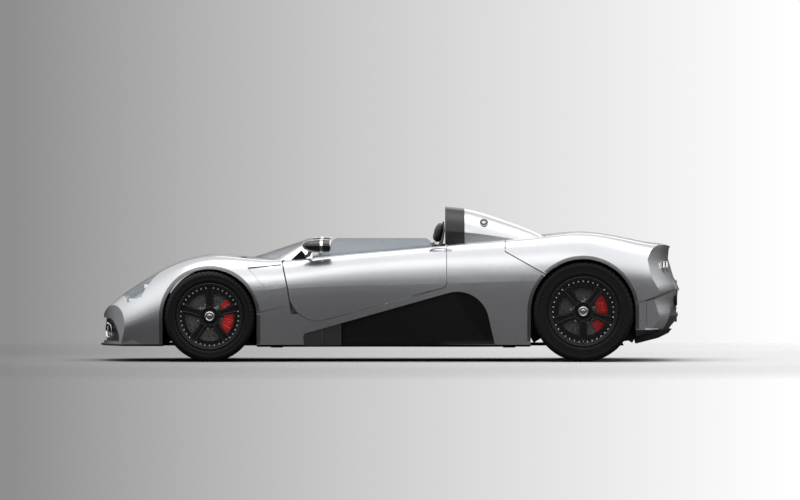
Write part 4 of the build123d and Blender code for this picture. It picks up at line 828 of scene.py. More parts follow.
def make_side_intakes():
    """A wire mesh in each side intake, with a bright edge on its two steps."""
    tree = tree_of("side_intakes")
    for side, sign in SIDES:
        make_grille(f"intake_mesh_{side}", lambda u, v: from_side(tree, u, v, sign), (-0.33, 0.72), (0.135, 0.50),
                    0.021, lambda u, v: v < 0.235 + (u + 0.36) * 0.30 + 0.02 and v < 0.50 - max(0.0, u - 0.45) * 1.4)
        bm = bmesh.new()
        for x in (-0.487, -0.358):
            line = []
            for i in range(14):
                met = from_side(tree, x - 0.003, 0.128 + 0.01 * i, sign)
                if met and (not line or abs(met[0].y - line[-1].y) < 0.02):
                    line.append(lifted(met, 0.0008))
            if len(line) > 3:
                tube(bm, line, 0.0016, 6)
        add_piece(f"intake_step_edges_{side}", bm, STEP_GREY, "car")


def make_nose():
    """Grille wires and bars between the fog lamps, and each lamp's two rims."""
    tree = tree_of("nose_insert")
    make_grille("nose_mesh", lambda u, v: from_front(tree, u, v), (-0.33, 0.33), (0.160, 0.300), 0.018)
    bar = bmesh.new()
    for z in (0.185, 0.232, 0.279):
        hits = [from_front(tree, -0.33 + 0.015 * i, z) for i in range(45)]
        tube(bar, [lifted(met, 0.003) for met in hits if met], 0.0042, 8, flat=0.6)
    add_piece("nose_bars", bar, TRIM, "car")
    lamp_tree = tree_of("fog_lamps")
    for side, sign in SIDES:
        rim = bmesh.new()
        centre = Vector((-2.034, sign * 0.405, 0.222))
        inward = Vector((1.0, -sign, 0.0)).normalized()
        across = Vector((1.0, sign, 0.0)).normalized()
        for half_width, half_height, radius in ((0.0335, 0.0500, 0.0040), (0.0200, 0.0300, 0.0016)):
            hits = [cast(lamp_tree, centre + across * half_width * c + Vector((0, 0, half_height * s)) - inward * 0.3,
                         inward) for c, s in circle(48)]
            tube(rim, [met[0] - inward * 0.0018 for met in hits if met], radius, 8, closed=True)
        add_piece(f"fog_lamp_rim_{side}", rim, CHROME, "car")


def make_headlamps():
    """Lens and bezel of the two lights in each lamp pan."""
    for side, sign in SIDES:
        bezel, lens = bmesh.new(), bmesh.new()
        for x, y, z in ((-1.862, 0.605, 0.424), (-1.752, 0.640, 0.526)):
            spot = Vector((x - 0.001, sign * y, z))
            lathe(bezel, [(0.0345, 0.000), (0.0365, 0.003), (0.0350, 0.006), (0.0300, 0.0058), (0.0285, 0.002)],
                  spot, (-1, 0, 0), 40, closed=True)
            lathe(lens, [(0.0270, 0.0), (0.0265, 0.004), (0.0220, 0.0085), (0.0150, 0.0115), (0.0070, 0.013),
                         (0.0, 0.0134)], spot, (-1, 0, 0), 32)
        add_piece(f"headlamp_bezels_{side}", bezel, CHROME, "car")
        add_piece(f"headlamp_lenses_{side}", lens, LENS, "car")


def make_tail():
    """Rings, stepped lenses and small diodes on the tail lamps, and the exhaust tips."""
    lamp_tree = tree_of("tail_lamps")
    ring, lens, glow, tips = bmesh.new(), bmesh.new(), bmesh.new(), bmesh.new()
    for sign in (-1, 1):
        for y in (0.415, 0.540):
            spot = Vector((from_behind(lamp_tree, sign * y, TAIL_LAMP_Z)[0].x, sign * y, TAIL_LAMP_Z))
            lathe(ring, [(0.0455, -0.006), (0.0470, 0.0), (0.0455, 0.004), (0.0420, 0.005), (0.0400, 0.002),
                         (0.0400, -0.002)], spot, (1, 0, 0), 48, closed=True)
            lathe(lens, [(0.0395, 0.0005), (0.0385, 0.0035), (0.0300, 0.0060), (0.0290, 0.0040), (0.0250, 0.0040),
                         (0.0240, 0.0068), (0.0120, 0.0082), (0.0, 0.0086)], spot, (1, 0, 0), 48)
            for c, s in circle(24):
                lathe(glow, [(0.0018, 0.004), (0.0018, 0.0068), (0.0010, 0.0076), (0.0, 0.0076)],
                      spot + Vector((0, 0.0270 * c, 0.0270 * s)), (1, 0, 0), 6)
        lathe(tips, [(0.0440, -0.060), (0.0485, -0.060), (0.0495, -0.008), (0.0510, -0.001), (0.0505, 0.003),
                     (0.0480, 0.005), (0.0455, 0.002), (0.0440, -0.010)], (2.076, sign * 0.15, 0.330), (1, 0, 0), 56,
              closed=True)
    add_piece("tail_lamp_rings", ring, CHROME, "rear_lid")
    add_piece("tail_lamp_lenses", lens, LAMP_RED, "rear_lid")
    add_piece("tail_lamp_diodes", glow, CHROME, "rear_lid")
    add_piece("exhaust_tips", tips, CHROME, "car")


def make_bumper_detail():
    """A blank number plate in its frame, and a small marker on each side."""
    tree = tree_of("rear_bumper")
    x, middle_z = from_behind(tree, 0.0, PLATE_Z)[0].x, PLATE_Z

    def corners(out, half_width, half_height):
        return [Vector((x + out, y * half_width, middle_z + z * half_height))
                for y, z in ((-1, -1), (1, -1), (1, 1), (-1, 1))]

    bm = bmesh.new()
    slab(bm, corners(0.002, 0.26, 0.055), (0.0025, 0, 0), 0.0008)
    add_piece("number_plate_blank", bm, PLATE_WHITE, "car")
    bm = bmesh.new()
    loop = corners(0.003, 0.264, 0.059)
    tube(bm, [point.lerp(after, t) for point, after in zip(loop, loop[1:] + loop[:1]) for t in (0.02, 0.5, 0.98)],
         0.0045, 8, closed=True)
    add_piece("number_plate_frame", bm, TRIM, "car")
    for side, sign in SIDES:
        bm = bmesh.new()
        strip(bm, [[lifted(from_side(tree, 1.842 + 0.0085 * k, z, sign), lift) for k in range(12)]
                   for z, lift in ((0.2315, 0.0002), (0.2335, 0.0030), (0.2400, 0.0030), (0.2420, 0.0002))])
        add_piece(f"rear_side_marker_{side}", bm, LENS, "car")


def make_filler_cap():
    """Rim, finger recess and bolts on the fuel cap of the left fairing."""
    tilt = math.radians(41.7)
    normal = Vector((0.0, -math.cos(tilt), math.sin(tilt)))
    centre = Vector((0.678, -0.370 - 0.1357, 1.002)) + normal * 0.004
    bm = bmesh.new()
    lathe(bm, [(0.0330, -0.003), (0.0345, 0.0002), (0.0335, 0.0022), (0.0300, 0.0030), (0.0280, 0.0012),
               (0.0280, -0.002)], centre, normal, 48, closed=True)
    lathe(bm, [(0.0150, 0.0), (0.0150, 0.0034), (0.0138, 0.0044), (0.0110, 0.0044), (0.0100, 0.0020),
               (0.0, 0.0020)], centre, normal, 32)
    across = Vector((1.0, 0.0, 0.0))
    up = normal.cross(across)
    for k in range(8):
        turn = math.pi * (k + 0.5) / 4
        stud(bm, centre + (across * math.cos(turn) + up * math.sin(turn)) * 0.0225, normal,
             0.0022, 0.0018, 0.0014, 0.0026, 8)
    add_piece("filler_cap_rim", bm, STEEL, "car")


def make_seams_and_shade_lines():
    """Dark lines: painted shade along the edges of the wedge vent behind each front wheel, and the slit and seam on the
    rear corners.
    """
    lines = {
        # The three vent lines are dark tubes put where the vent's recess is in shade: painted shade
        "vent_edge_shade": ("front_wings", 0.0042, [(-1.030, 0.6830), (-0.789, 0.7008)]),
        "vent_front_shade": ("front_wings", 0.0013, [(-1.0346, 0.6828), (-0.9046, 0.5347)]),
        "vent_foot_shade": ("front_wings", 0.0013, [(-0.8685, 0.5166), (-0.7456, 0.5383)]),
        "corner_slit": ("rear_bumper", 0.0032, [(1.8481, 0.4385), (2.0300, 0.4980)]),
        "corner_seam": ("rear_bumper", 0.0012, [(1.8517, 0.4330), (1.8517, 0.2700)]),
    }
    for name, (node, radius, (first, last)) in lines.items():
        tree = tree_of(node)
        for side, sign in SIDES:
            path = []
            for k in range(25):
                x, z = (a + (b - a) * k / 24 for a, b in zip(first, last))
                met = from_side(tree, x, z, sign)
                if met and abs(met[0].y) > 0.45 and (not path or abs(met[0].y - path[-1].y) < 0.03):
                    path.append(lifted(met, radius * 0.2))
            if len(path) > 3:
                bm = bmesh.new()
                tube(bm, path, radius, 6)
                add_piece(f"{name}_{side}", bm, TRIM, "car")


def make_wheelhouses():
    """Inner wall and roof of each rear wheelhouse, and the low ends of all inner walls, fixed to the car."""
    inner_radius, roof, skin = 0.320, 0.3765, 0.003
    wall, edge = 0.594, 0.850
    section = [(inner_radius, wall), (inner_radius, wall - skin), (roof + skin, wall - skin), (roof + skin, edge),
               (roof, edge), (roof, wall)]
    low_ends = {"front": (0.290, 0.400, 0.490), "rear": (0.318, 0.425, wall)}
    for axle, (near, far, out) in low_ends.items():
        plain = [(near, out), (near, out - skin), (far, out - skin), (far, out)]
        runs = [(range(-33, -2, 6), plain), (range(183, 214, 6), plain)]
        if axle == "rear":
            runs.append((range(-4, 185, 4), section))
        for side, sign in SIDES:
            centre = WHEEL_CENTRE[axle, side]
            bm = bmesh.new()
            for angles, outline in runs:
                capped(bm, [[Vector((centre.x + radius * math.cos(turn), sign * y, centre.z + radius * math.sin(turn)))
                             for radius, y in outline] for turn in map(math.radians, angles)])
            add_piece(f"wheelhouse_{axle}_{side}", bm, LINER, "car")


def make_gearbox_detail():
    """Ribs, a bolted cover, a breather hose and an oil filler on the gearbox under the rear lid."""
    ribs, bolts, hose = bmesh.new(), bmesh.new(), bmesh.new()
    top = from_above(tree_of("engine"), 1.40, 0.0)[0].z
    for k in range(8):
        x = 1.165 + 0.062 * k
        tube(ribs, [(x, y, top + 0.001) for y in (-0.150, -0.145, 0.0, 0.145, 0.150)],
             [0.003, 0.007, 0.007, 0.007, 0.003], 8)
    brick(ribs, (1.380, 0.0, top + 0.010), (0.230, 0.170, 0.024), 0.006)
    stud(ribs, (1.560, 0.080, top), (0, 0, 1), 0.034, 0.030, 0.028, 0.036, 32)
    for i in range(5):
        for y in (-0.074, 0.074):
            stud(bolts, (1.280 + 0.050 * i, y, top + 0.021), (0, 0, 1), 0.0075, 0.006, 0.0060, 0.008, 6)
    tube(hose, smooth_path([(1.560, 0.080, top + 0.030), (1.560, 0.080, top + 0.070), (1.500, 0.060, top + 0.100),
                            (1.350, 0.020, top + 0.110), (1.220, 0.000, top + 0.120), (1.120, 0.000, top + 0.110)], 6),
         0.011, 12)
    add_piece("gearbox_ribs", ribs, ALLOY, "car")
    add_piece("gearbox_bolts", bolts, STEEL, "car")
    add_piece("breather_hose", hose, RUBBER, "car")


def make_carpets():
    """A ribbed mat with a bound edge in the luggage bay and in each footwell, and two luggage straps with buckles."""
    mats, binding = bmesh.new(), bmesh.new()
    pitch, thick = 0.034, 0.006
    for x, y, z, length, width in ((-1.410, 0.0, 0.208, 0.680, 0.860), (-0.540, -0.350, 0.145, 0.300, 0.340),
                                   (-0.540, 0.350, 0.145, 0.300, 0.340)):
        outline = [Vector((x + length / 2 * c, y + width / 2 * s, z)) for c, s in superellipse(40, 0.25)]
        slab(mats, outline, (0, 0, thick), 0.0015)
        tube(binding, [point + Vector((0, 0, 0.005)) for point in outline], 0.0045, 6, closed=True)
        for k in range(int(width / pitch) - 1):
            across = y - width / 2 + pitch * (k + 1)
            tube(mats, [(x + length * end, across, z + thick) for end in (-0.47, 0.47)], 0.0035, 6)
    add_piece("carpets", mats, CARPET, "car")
    add_piece("carpet_binding", binding, LEATHER, "car")
    straps, buckles = bmesh.new(), bmesh.new()
    for x in (-1.560, -1.260):
        strip(straps, [[(x - 0.020, y, 0.2220), (x - 0.020, y, 0.2240), (x + 0.020, y, 0.2240), (x + 0.020, y, 0.2220)]
                       for y in (-0.42, -0.20, 0.0, 0.20, 0.42)], closed_columns=True)
        brick(buckles, (x, 0.05, 0.2262), (0.056, 0.040, 0.006), 0.002)
        for y in (-0.42, 0.42):
            brick(buckles, (x, y, 0.2225), (0.050, 0.018, 0.009), 0.002)
    add_piece("luggage_straps", straps, WEBBING, "car")
    add_piece("luggage_buckles", buckles, STEEL, "car")


make_seams_and_shade_lines()
make_wheelhouses()
make_gearbox_detail()
make_arch_lips()
make_door_handles()
make_mirrors()
make_side_intakes()
make_nose()
make_headlamps()
make_tail()
make_bumper_detail()
make_filler_cap()


# Cabin

ACROSS = Vector((0.0, 1.0, 0.0))
GROOVE_DEPTH, GROOVE_WIDTH = 0.005, 0.010
STITCH_PITCH = 0.009
STITCH = (0.0055, 0.0011, 0.0012)


def superellipse(count, power):
    """Points of a rounded rectangle of half size 1 by 1."""
    return [tuple(math.copysign(abs(value) ** power, value) for value in point) for point in circle(count)]


def frames(line):
    """Each point of a line in the plane across the car, with the way out of the line to its upper side."""
    for i, point in enumerate(line):
        along = (line[min(i + 1, len(line) - 1)] - line[max(i - 1, 0)]).normalized()
        yield point, Vector((-along.z, 0.0, along.x))


def upholstered(bm, path, y_middle, halves, thickness, groove_at=(), steps=8, sides=36, power=0.55, crown=0.12):
    """A stuffed form along a path of (x, z): ends pull in, the faces are crowned, sewn channels cross it."""
    line = smooth_path([(x, 0.0, z) for x, z in path], steps)
    total = sum((b - a).length for a, b in zip(line, line[1:]))
    rows = []
    run = 0.0
    last = line[0]
    for point, out in frames(line):
        run += (point - last).length
        last = point
        t = run / total
        end = max(0.0, 1.0 - (2 * abs(t - 0.5)) ** 10) ** 0.5
        stage = t * (len(halves) - 1)
        low = min(int(stage), len(halves) - 2)
        half = halves[low] + (halves[low + 1] - halves[low]) * (stage - low)
        thick = thickness[low] + (thickness[low + 1] - thickness[low]) * (stage - low)
        sunk = sum(GROOVE_DEPTH * math.exp(-((run - g) / (GROOVE_WIDTH * 0.5)) ** 2) for g in groove_at)
        width = half * (0.90 + 0.10 * end)
        row = []
        for c, s in superellipse(sides, power):
            swell = 1.0 + crown * (1.0 - c * c)
            depth = max(thick * swell * end, 0.002) - (sunk if s > 0 else 0.0)
            row.append(Vector((point.x, y_middle + c * width, point.z)) + out * (s * depth))
        rows.append(row)
    capped(bm, rows)


def stitches(bm, points, normal):
    """Short raised threads along a line."""
    up = Vector(normal).normalized()
    line = smooth_path(points, 8)
    run = 0.0
    for first, second in zip(line, line[1:]):
        along = second - first
        run += along.length
        if run >= STITCH_PITCH and along.length > 1e-6:
            run = 0.0
            way = along.normalized()
            turn = Matrix((way, way.cross(up).normalized(), up)).transposed()
            brick(bm, second, STITCH, turn=turn)


# The seats' forms along their middle, as (x, z); SHELL adds its half width and the height of its wings
SEAT_Y = 0.370
SEAT_BASE = [(-0.205, 0.276), (-0.165, 0.297), (-0.08, 0.290), (0.02, 0.264), (0.10, 0.257), (0.145, 0.268)]
SEAT_BACK = [(0.168, 0.310), (0.208, 0.420), (0.243, 0.540), (0.277, 0.660), (0.308, 0.770), (0.326, 0.842)]
SEAT_HEAD = [(0.334, 0.866), (0.345, 0.905), (0.362, 0.955), (0.378, 0.990)]
BOLSTER = [(-0.205, 0.262), (-0.170, 0.318), (-0.080, 0.322), (0.020, 0.306), (0.105, 0.325), (0.160, 0.395),
           (0.205, 0.500), (0.246, 0.610), (0.282, 0.730), (0.305, 0.812), (0.330, 0.838)]
SHELL = [((-0.236, 0.262), 0.232, 0.020), ((-0.228, 0.190), 0.240, 0.060), ((-0.150, 0.168), 0.244, 0.110),
         ((0.090, 0.166), 0.246, 0.140), ((0.190, 0.190), 0.247, 0.120), ((0.246, 0.255), 0.247, 0.090),
         ((0.286, 0.420), 0.246, 0.055), ((0.333, 0.615), 0.243, 0.040), ((0.362, 0.780), 0.225, 0.030),
         ((0.388, 0.880), 0.150, 0.018), ((0.397, 0.945), 0.128, 0.012), ((0.392, 1.003), 0.116, 0.008)]
# Belts as (x, z, distance from the seat's middle)
SHOULDER_BELT = ((0.372, 0.868, 0.060), (0.318, 0.856, 0.070), (0.268, 0.800, 0.085), (0.240, 0.700, 0.095),
                 (0.205, 0.560, 0.090), (0.168, 0.430, 0.070), (0.128, 0.350, 0.050), (0.085, 0.318, 0.030))
LAP_BELT = ((0.150, 0.300, 0.182), (0.110, 0.318, 0.150), (0.090, 0.322, 0.090), (0.078, 0.318, 0.030))


def make_seat_shell(side, y):
    """The bucket's shell on its two rails, in place of the seat's solid."""
    bm = bmesh.new()
    rows = []
    line = [Vector((x, 0, z)) for (x, z), _, _ in SHELL]
    for (point, inward), (_, half, wing) in zip(frames(line), SHELL):
        edge = ((-1.0, wing), (-1.0, wing * 0.4), (-0.94, 0.006), (-0.5, 0.0))
        section = edge + ((0.0, 0.0),) + tuple((-across, lift) for across, lift in reversed(edge))
        rows.append([Vector((point.x, y + across * half, point.z)) + inward * lift for across, lift in section])
    strip(bm, rows)
    thicken(bm, 0.006)
    for rail in (-0.17, 0.17):
        brick(bm, (0.0, y + rail, 0.156), (0.42, 0.034, 0.020), 0.003)
    shell = add_piece(f"seat_shell_{side}", bm, SHELL_BLACK, "car")
    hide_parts(f"seat_{side}")


def make_seat_pads(side, sign, y):
    """Seat, back and head pads with sewn channels, side bolsters, piping and stitches."""
    bm = bmesh.new()
    upholstered(bm, SEAT_BASE, y, [0.172, 0.188, 0.190, 0.186, 0.178], [0.030, 0.034, 0.032, 0.030, 0.026],
                [0.07, 0.14, 0.21, 0.28])
    add_piece(f"seat_cushion_{side}", bm, LEATHER, "car")
    bm = bmesh.new()
    upholstered(bm, SEAT_BACK, y, [0.176, 0.184, 0.188, 0.186, 0.170], [0.026, 0.030, 0.028, 0.026, 0.024],
                [0.08, 0.16, 0.24, 0.32, 0.40, 0.48])
    add_piece(f"seat_back_pad_{side}", bm, LEATHER, "car")
    bm = bmesh.new()
    upholstered(bm, SEAT_HEAD, y, [0.112, 0.122, 0.122, 0.104], [0.022, 0.028, 0.027, 0.018], [0.045], crown=0.2)
    add_piece(f"head_pad_{side}", bm, LEATHER, "car")
    for word, way in (("inner", -sign), ("outer", sign)):
        bm = bmesh.new()
        upholstered(bm, BOLSTER, y + way * 0.2205, [0.026, 0.0285, 0.0285, 0.0285, 0.026],
                    [0.030, 0.040, 0.034, 0.038, 0.040, 0.034, 0.024], steps=5, sides=20, power=0.8, crown=0.0)
        add_piece(f"bolster_{word}_{side}", bm, LEATHER_SIDE, "car")
    trim, thread = bmesh.new(), bmesh.new()
    for way in (-1, 1):
        for path, forward, rise in ((SEAT_BASE, 0.001, 0.031), (SEAT_BACK, 0.028, 0.004)):
            tube(trim, smooth_path([(x - forward, y + way * 0.191, z + rise) for x, z in path], 4), 0.0022, 6)
        stitches(thread, [(x, y + way * 0.172, z + 0.0355) for x, z in SEAT_BASE[1:-1]], (0, 0, 1))
        stitches(thread, [(x - 0.0318, y + way * 0.168, z + 0.006) for x, z in SEAT_BACK[1:-1]], (-1, 0, 0.3))
    add_piece(f"seat_piping_{side}", trim, PIPING, "car")
    add_piece(f"seat_stitches_{side}", thread, THREAD, "car")


def make_seat_belts(side, y):
    """Shoulder and lap belts with their adjusters, tongues and round buckle."""
    belt, fittings = bmesh.new(), bmesh.new()
    for way in (-1, 1):
        edges = [smooth_path([(x, y + way * off + edge, z) for x, z, off in SHOULDER_BELT], 5)
                 for edge in (-0.022, 0.022)]
        strip(belt, list(zip(*edges)))
        line = smooth_path([(x, y + way * off, z) for x, z, off in LAP_BELT], 5)
        strip(belt, [[p + Vector((-0.020, 0, 0.001)), p + Vector((0.020, 0, 0.004))] for p in line])
        brick(fittings, (0.262, y + way * 0.086, 0.786), (0.006, 0.054, 0.030), 0.002, Matrix.Rotation(0.3, 3, "Y"))
    thicken(belt, 0.0018)
    add_piece(f"seat_belts_{side}", belt, WEBBING, "car")
    lathe(fittings, [(0.030, 0.0), (0.030, 0.012), (0.026, 0.016), (0.014, 0.017), (0.012, 0.014), (0.0, 0.014)],
          (0.078, y, 0.314), (-0.1, 0, 1), 32)
    for way in (-1, 1):
        brick(fittings, (0.082, y + way * 0.040, 0.319), (0.040, 0.028, 0.005), 0.0015)
    add_piece(f"belt_buckle_{side}", fittings, STEEL, "car")


HAND_WHEEL = Vector((-0.430, -0.370, 0.612))
TILT = math.radians(25.0)
HAND_NORMAL = Vector((math.cos(TILT), 0.0, math.sin(TILT)))
HAND_UP = Vector((-math.sin(TILT), 0.0, math.cos(TILT)))


def on_wheel(radius, degrees, out=0.0):
    turn = math.radians(degrees)
    return HAND_WHEEL + (ACROSS * math.cos(turn) + HAND_UP * math.sin(turn)) * radius + HAND_NORMAL * out


def make_hand_wheel():
    """Three-spoke leather steering wheel with thumb grips, a hub pad, bolts and stitches."""
    rim, spokes, hub, thread = bmesh.new(), bmesh.new(), bmesh.new(), bmesh.new()
    points, radii = [], []
    for k in range(96):
        degrees = 360.0 * k / 96
        points.append(on_wheel(0.178, degrees))
        grip = math.exp(-((degrees - 28) / 12) ** 2) + math.exp(-((degrees - 152) / 12) ** 2)
        radii.append(0.0132 + 0.0008 * min(1.0, grip))
    tube(rim, points, radii, 12, closed=True)
    wheel_rim = add_piece("hand_wheel_rim", rim, LEATHER, "hand_wheel")
    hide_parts("steering_wheel")
    for degrees in (0.0, 180.0, 270.0):
        aside = on_wheel(1.0, degrees + 90) - HAND_WHEEL
        capped(spokes, [[on_wheel(radius, degrees, out) + aside * (half * c) + HAND_NORMAL * (0.0035 * s)
                         for c, s in superellipse(16, 0.7)]
                        for radius, half, out in ((0.030, 0.020, -0.004), (0.070, 0.015, -0.003),
                                                  (0.120, 0.013, -0.001), (0.169, 0.017, 0.0))])
    add_piece("hand_wheel_spokes", spokes, STEEL, "hand_wheel")
    lathe(hub, [(0.030, -0.034), (0.034, -0.030), (0.036, -0.006), (0.044, 0.000), (0.046, 0.008), (0.041, 0.0135),
                (0.028, 0.0165), (0.0, 0.0175)], HAND_WHEEL, HAND_NORMAL, 48)
    for k in range(6):
        stud(hub, on_wheel(0.037, 60 * k + 30, 0.012), HAND_NORMAL, 0.0030, 0.0036, 0.0020, 0.0044, 6)
    add_piece("hand_wheel_hub", hub, TRIM, "hand_wheel")
    for k in range(120):
        tube(thread, [on_wheel(0.1655, 3.0 * k + lean, -0.0072 * lean) for lean in (-0.5, 0.5)], 0.0009, 4)
    add_piece("hand_wheel_stitches", thread, THREAD, "hand_wheel")


def dial(rim, face, marks, needle, centre, normal, radius):
    """Round instrument: bezel, black face, tick marks and a needle."""
    up = normal.cross(ACROSS).normalized()

    def pointer(bm, degrees, reach, lift, size, bevel):
        way = ACROSS * math.cos(math.radians(degrees)) + up * math.sin(math.radians(degrees))
        turn = Matrix((way, normal.cross(way), normal)).transposed()
        brick(bm, centre + way * reach + normal * lift, size, bevel, turn)

    lathe(rim, [(radius, -0.002), (radius, 0.006), (radius - 0.0015, 0.0075), (radius - 0.0035, 0.0065),
                (radius - 0.0035, -0.002)], centre, normal, 40, closed=True)
    lathe(face, [(radius - 0.003, 0.0005), (radius - 0.003, 0.0022), (radius * 0.3, 0.0022), (0.0, 0.0022)], centre,
          normal, 40)
    outer = radius * 0.82
    for k in range(25):
        inner, width = (radius * 0.62, 0.0010) if k % 4 == 0 else (radius * 0.70, 0.0006)
        pointer(marks, -45 + 270 * k / 24, (inner + outer) / 2, 0.0025, (outer - inner, width, 0.0005), 0.0)
    pointer(needle, 205, radius * 0.32, 0.0040, (radius * 0.85, 0.0011, 0.0008), 0.0003)
    lathe(needle, [(radius * 0.12, 0.0024), (radius * 0.12, 0.0048), (radius * 0.08, 0.0056), (0.0, 0.0056)], centre,
          normal, 20)


def make_instruments():
    """Dials under the hood and air vents in the slope of the dashboard."""
    rim, face, marks, needle = bmesh.new(), bmesh.new(), bmesh.new(), bmesh.new()
    normal = Vector((0.974, 0, -0.225)).normalized()
    for y, radius in ((-0.370, 0.0245), (-0.437, 0.0215), (-0.303, 0.0215)):
        dial(rim, face, marks, needle, Vector((-0.6935, y, 0.7175)), normal, radius)
    vents, blades = bmesh.new(), bmesh.new()
    slope = Vector((0.747, 0, 0.664))
    slope_up = Vector((-0.664, 0, 0.747))
    turn = Matrix((ACROSS, slope_up, slope)).transposed()
    for y in (-0.600, -0.125, 0.125, 0.600):
        centre = Vector((-0.6195, y, 0.6830))
        lathe(vents, [(0.0250, -0.003), (0.0262, 0.002), (0.0245, 0.0045), (0.0218, 0.0035), (0.0210, -0.002)], centre,
              slope, 36, closed=True)
        for k in range(-2, 3):
            reach = math.sqrt(0.0205 ** 2 - (0.008 * k) ** 2)
            brick(blades, centre + slope_up * (0.008 * k) + slope * 0.001, (2 * reach, 0.0018, 0.004), 0.0004, turn)
    add_piece("dial_bezels", rim, CHROME, "car")
    add_piece("dial_faces", face, TRIM, "car")
    add_piece("dial_marks", marks, THREAD, "car")
    add_piece("dial_needles", needle, LAMP_RED, "car")
    add_piece("air_vents", vents, STEEL, "car")
    add_piece("air_vent_blades", blades, TRIM, "car")


def make_dashboard():
    """A centre screen with its keys, a glove box lid and seams on the dashboard."""
    back = Vector((0.928, 0, -0.371))
    back_up = Vector((0.371, 0, 0.928))
    turn = Matrix((ACROSS, back_up, back)).transposed()
    screen, keys, lid, thread = bmesh.new(), bmesh.new(), bmesh.new(), bmesh.new()
    brick(screen, Vector((-0.6215, 0.0, 0.606)) + back * 0.002, (0.165, 0.072, 0.006), 0.002, turn)
    add_piece("centre_screen", screen, SCREEN_GLASS, "car")
    for k in range(7):
        brick(keys, Vector((-0.6365, -0.060 + 0.020 * k, 0.5685)) + back * 0.002, (0.015, 0.010, 0.005), 0.0015, turn)
    stud(keys, (-0.6305, -0.160, 0.583), back, 0.0110, 0.0090, 0.0098, 0.0105, 24)
    add_piece("dashboard_keys", keys, STEEL, "car")
    glove_box = Vector((-0.6215, 0.370, 0.606))
    brick(lid, glove_box + back * 0.001, (0.380, 0.076, 0.005), 0.002, turn)
    brick(lid, glove_box + back * 0.005 + back_up * 0.022, (0.060, 0.010, 0.006), 0.002, turn)
    add_piece("glove_box_lid", lid, LEATHER, "car")
    wide = (-0.22, 0.0, 0.3, 0.63)
    for x, z, places, lean in ((-0.6445, 0.7062, wide, 0), (-0.6520, 0.7062, wide, 0),
                               (-0.6985, 0.7485, (-0.49, -0.37, -0.25), 0.2)):
        stitches(thread, [(x, y, z) for y in places], (lean, 0, 1))
    add_piece("dashboard_stitches", thread, THREAD, "car")


def make_console():
    """Gear gaiter with its ring, lever knob cap, handbrake and switches on the console."""
    tree = tree_of("console")

    def top(x, y):
        return from_above(tree, x, y)[0].z

    gaiter, ring, knob, lever, keys = (bmesh.new() for _ in range(5))
    z0 = top(-0.33, 0.055)
    rows = []
    for k in range(9):
        t = k / 8
        radius = 0.046 * (1 - t) ** 0.7 + 0.010 + (0.003 if k % 2 else 0.0)
        rows.append([Vector((-0.330 - 0.018 * t, 0.0, z0 + 0.052 * t)) + Vector((radius * c, radius * s * 0.9, 0))
                     for c, s in superellipse(28, 0.8)])
    capped(gaiter, rows)
    add_piece("gear_gaiter", gaiter, LEATHER, "car")
    tube(ring, [Vector((-0.330, 0, z0 + 0.002)) + Vector((0.058 * c, 0.052 * s, 0)) for c, s in superellipse(32, 0.8)],
         0.0032, 8, closed=True)
    add_piece("gear_gaiter_ring", ring, STEEL, "car")
    lathe(knob, [(0.0130, 0.012), (0.0180, 0.0165), (0.0165, 0.0195), (0.0060, 0.0212), (0.0, 0.0214)],
          (-0.350, 0.0, 0.500), (0, 0, 1), 32)
    add_piece("gear_knob_cap", knob, STEEL, "car")
    base = top(0.02, 0.045)
    tube(lever, smooth_path([(0.10, 0.050, base - 0.004), (0.06, 0.050, base + 0.018), (-0.02, 0.050, base + 0.035),
                             (-0.09, 0.050, base + 0.044)], 5), 0.0085, 10)
    add_piece("handbrake", lever, LEATHER, "car")
    for k in range(4):
        x = -0.215 + 0.030 * k
        brick(keys, (x, -0.045, top(x, -0.045) + 0.002), (0.020, 0.026, 0.006), 0.002)
    lathe(keys, [(0.018, -0.002), (0.018, 0.010), (0.016, 0.012), (0.0, 0.012)], (-0.245, 0.045, top(-0.245, 0.045)),
          (0, 0, 1), 28)
    add_piece("console_keys", keys, STEEL, "car")


def make_door_trims():
    """Padded armrest, pull and speaker ring on the inner side of each door."""
    for side, sign, node in DOOR_SIDES:
        tree = tree_of(node)
        rest, metal = bmesh.new(), bmesh.new()
        y = cast(tree, (-0.02, 0.0, 0.60), (0, sign, 0))[0].y
        upholstered(rest, [(-0.24, 0.575), (-0.12, 0.585), (0.02, 0.590), (0.16, 0.600)], y - sign * 0.022,
                    [0.020, 0.022, 0.022, 0.020], [0.020, 0.022, 0.022, 0.018], steps=5, sides=20, power=0.75)
        add_piece(f"armrest_{side}", rest, LEATHER, node)
        tube(metal, smooth_path([(x, y - sign * off, z) for x, off, z in (
            (-0.34, 0.002, 0.635), (-0.33, 0.028, 0.640), (-0.24, 0.032, 0.655), (-0.15, 0.028, 0.668),
            (-0.14, 0.002, 0.671))], 5), 0.0065, 10)
        speaker = cast(tree, (-0.36, 0.0, 0.50), (0, sign, 0))
        if speaker:
            lathe(metal, [(0.062, -0.002), (0.062, 0.004), (0.058, 0.007), (0.054, 0.004), (0.054, -0.002)],
                  speaker[0], (0, -sign, 0), 48, closed=True)
        add_piece(f"door_pull_{side}", metal, STEEL, node)


def make_pedals():
    """Three pedals hung under the dashboard."""
    pads, arms = bmesh.new(), bmesh.new()
    turn = Matrix.Rotation(math.radians(62), 3, "Y")
    for y, wide, tall in ((-0.470, 0.060, 0.065), (-0.370, 0.075, 0.055), (-0.285, 0.050, 0.130)):
        centre = Vector((-0.800, y, 0.280))
        brick(pads, centre, (tall, wide, 0.008), 0.003, turn)
        for k in range(-2, 3):
            brick(pads, centre + turn @ Vector((tall * 0.18 * k, 0, 0.0045)), (0.004, wide * 0.8, 0.004), 0.001, turn)
        tube(arms, smooth_path([(-0.804, y, 0.280), (-0.835, y, 0.380), (-0.850, y, 0.500), (-0.845, y, 0.566)], 5),
             0.007, 8)
    add_piece("pedal_pads", pads, STEEL, "car")
    add_piece("pedal_arms", arms, STRUCTURE, "car")


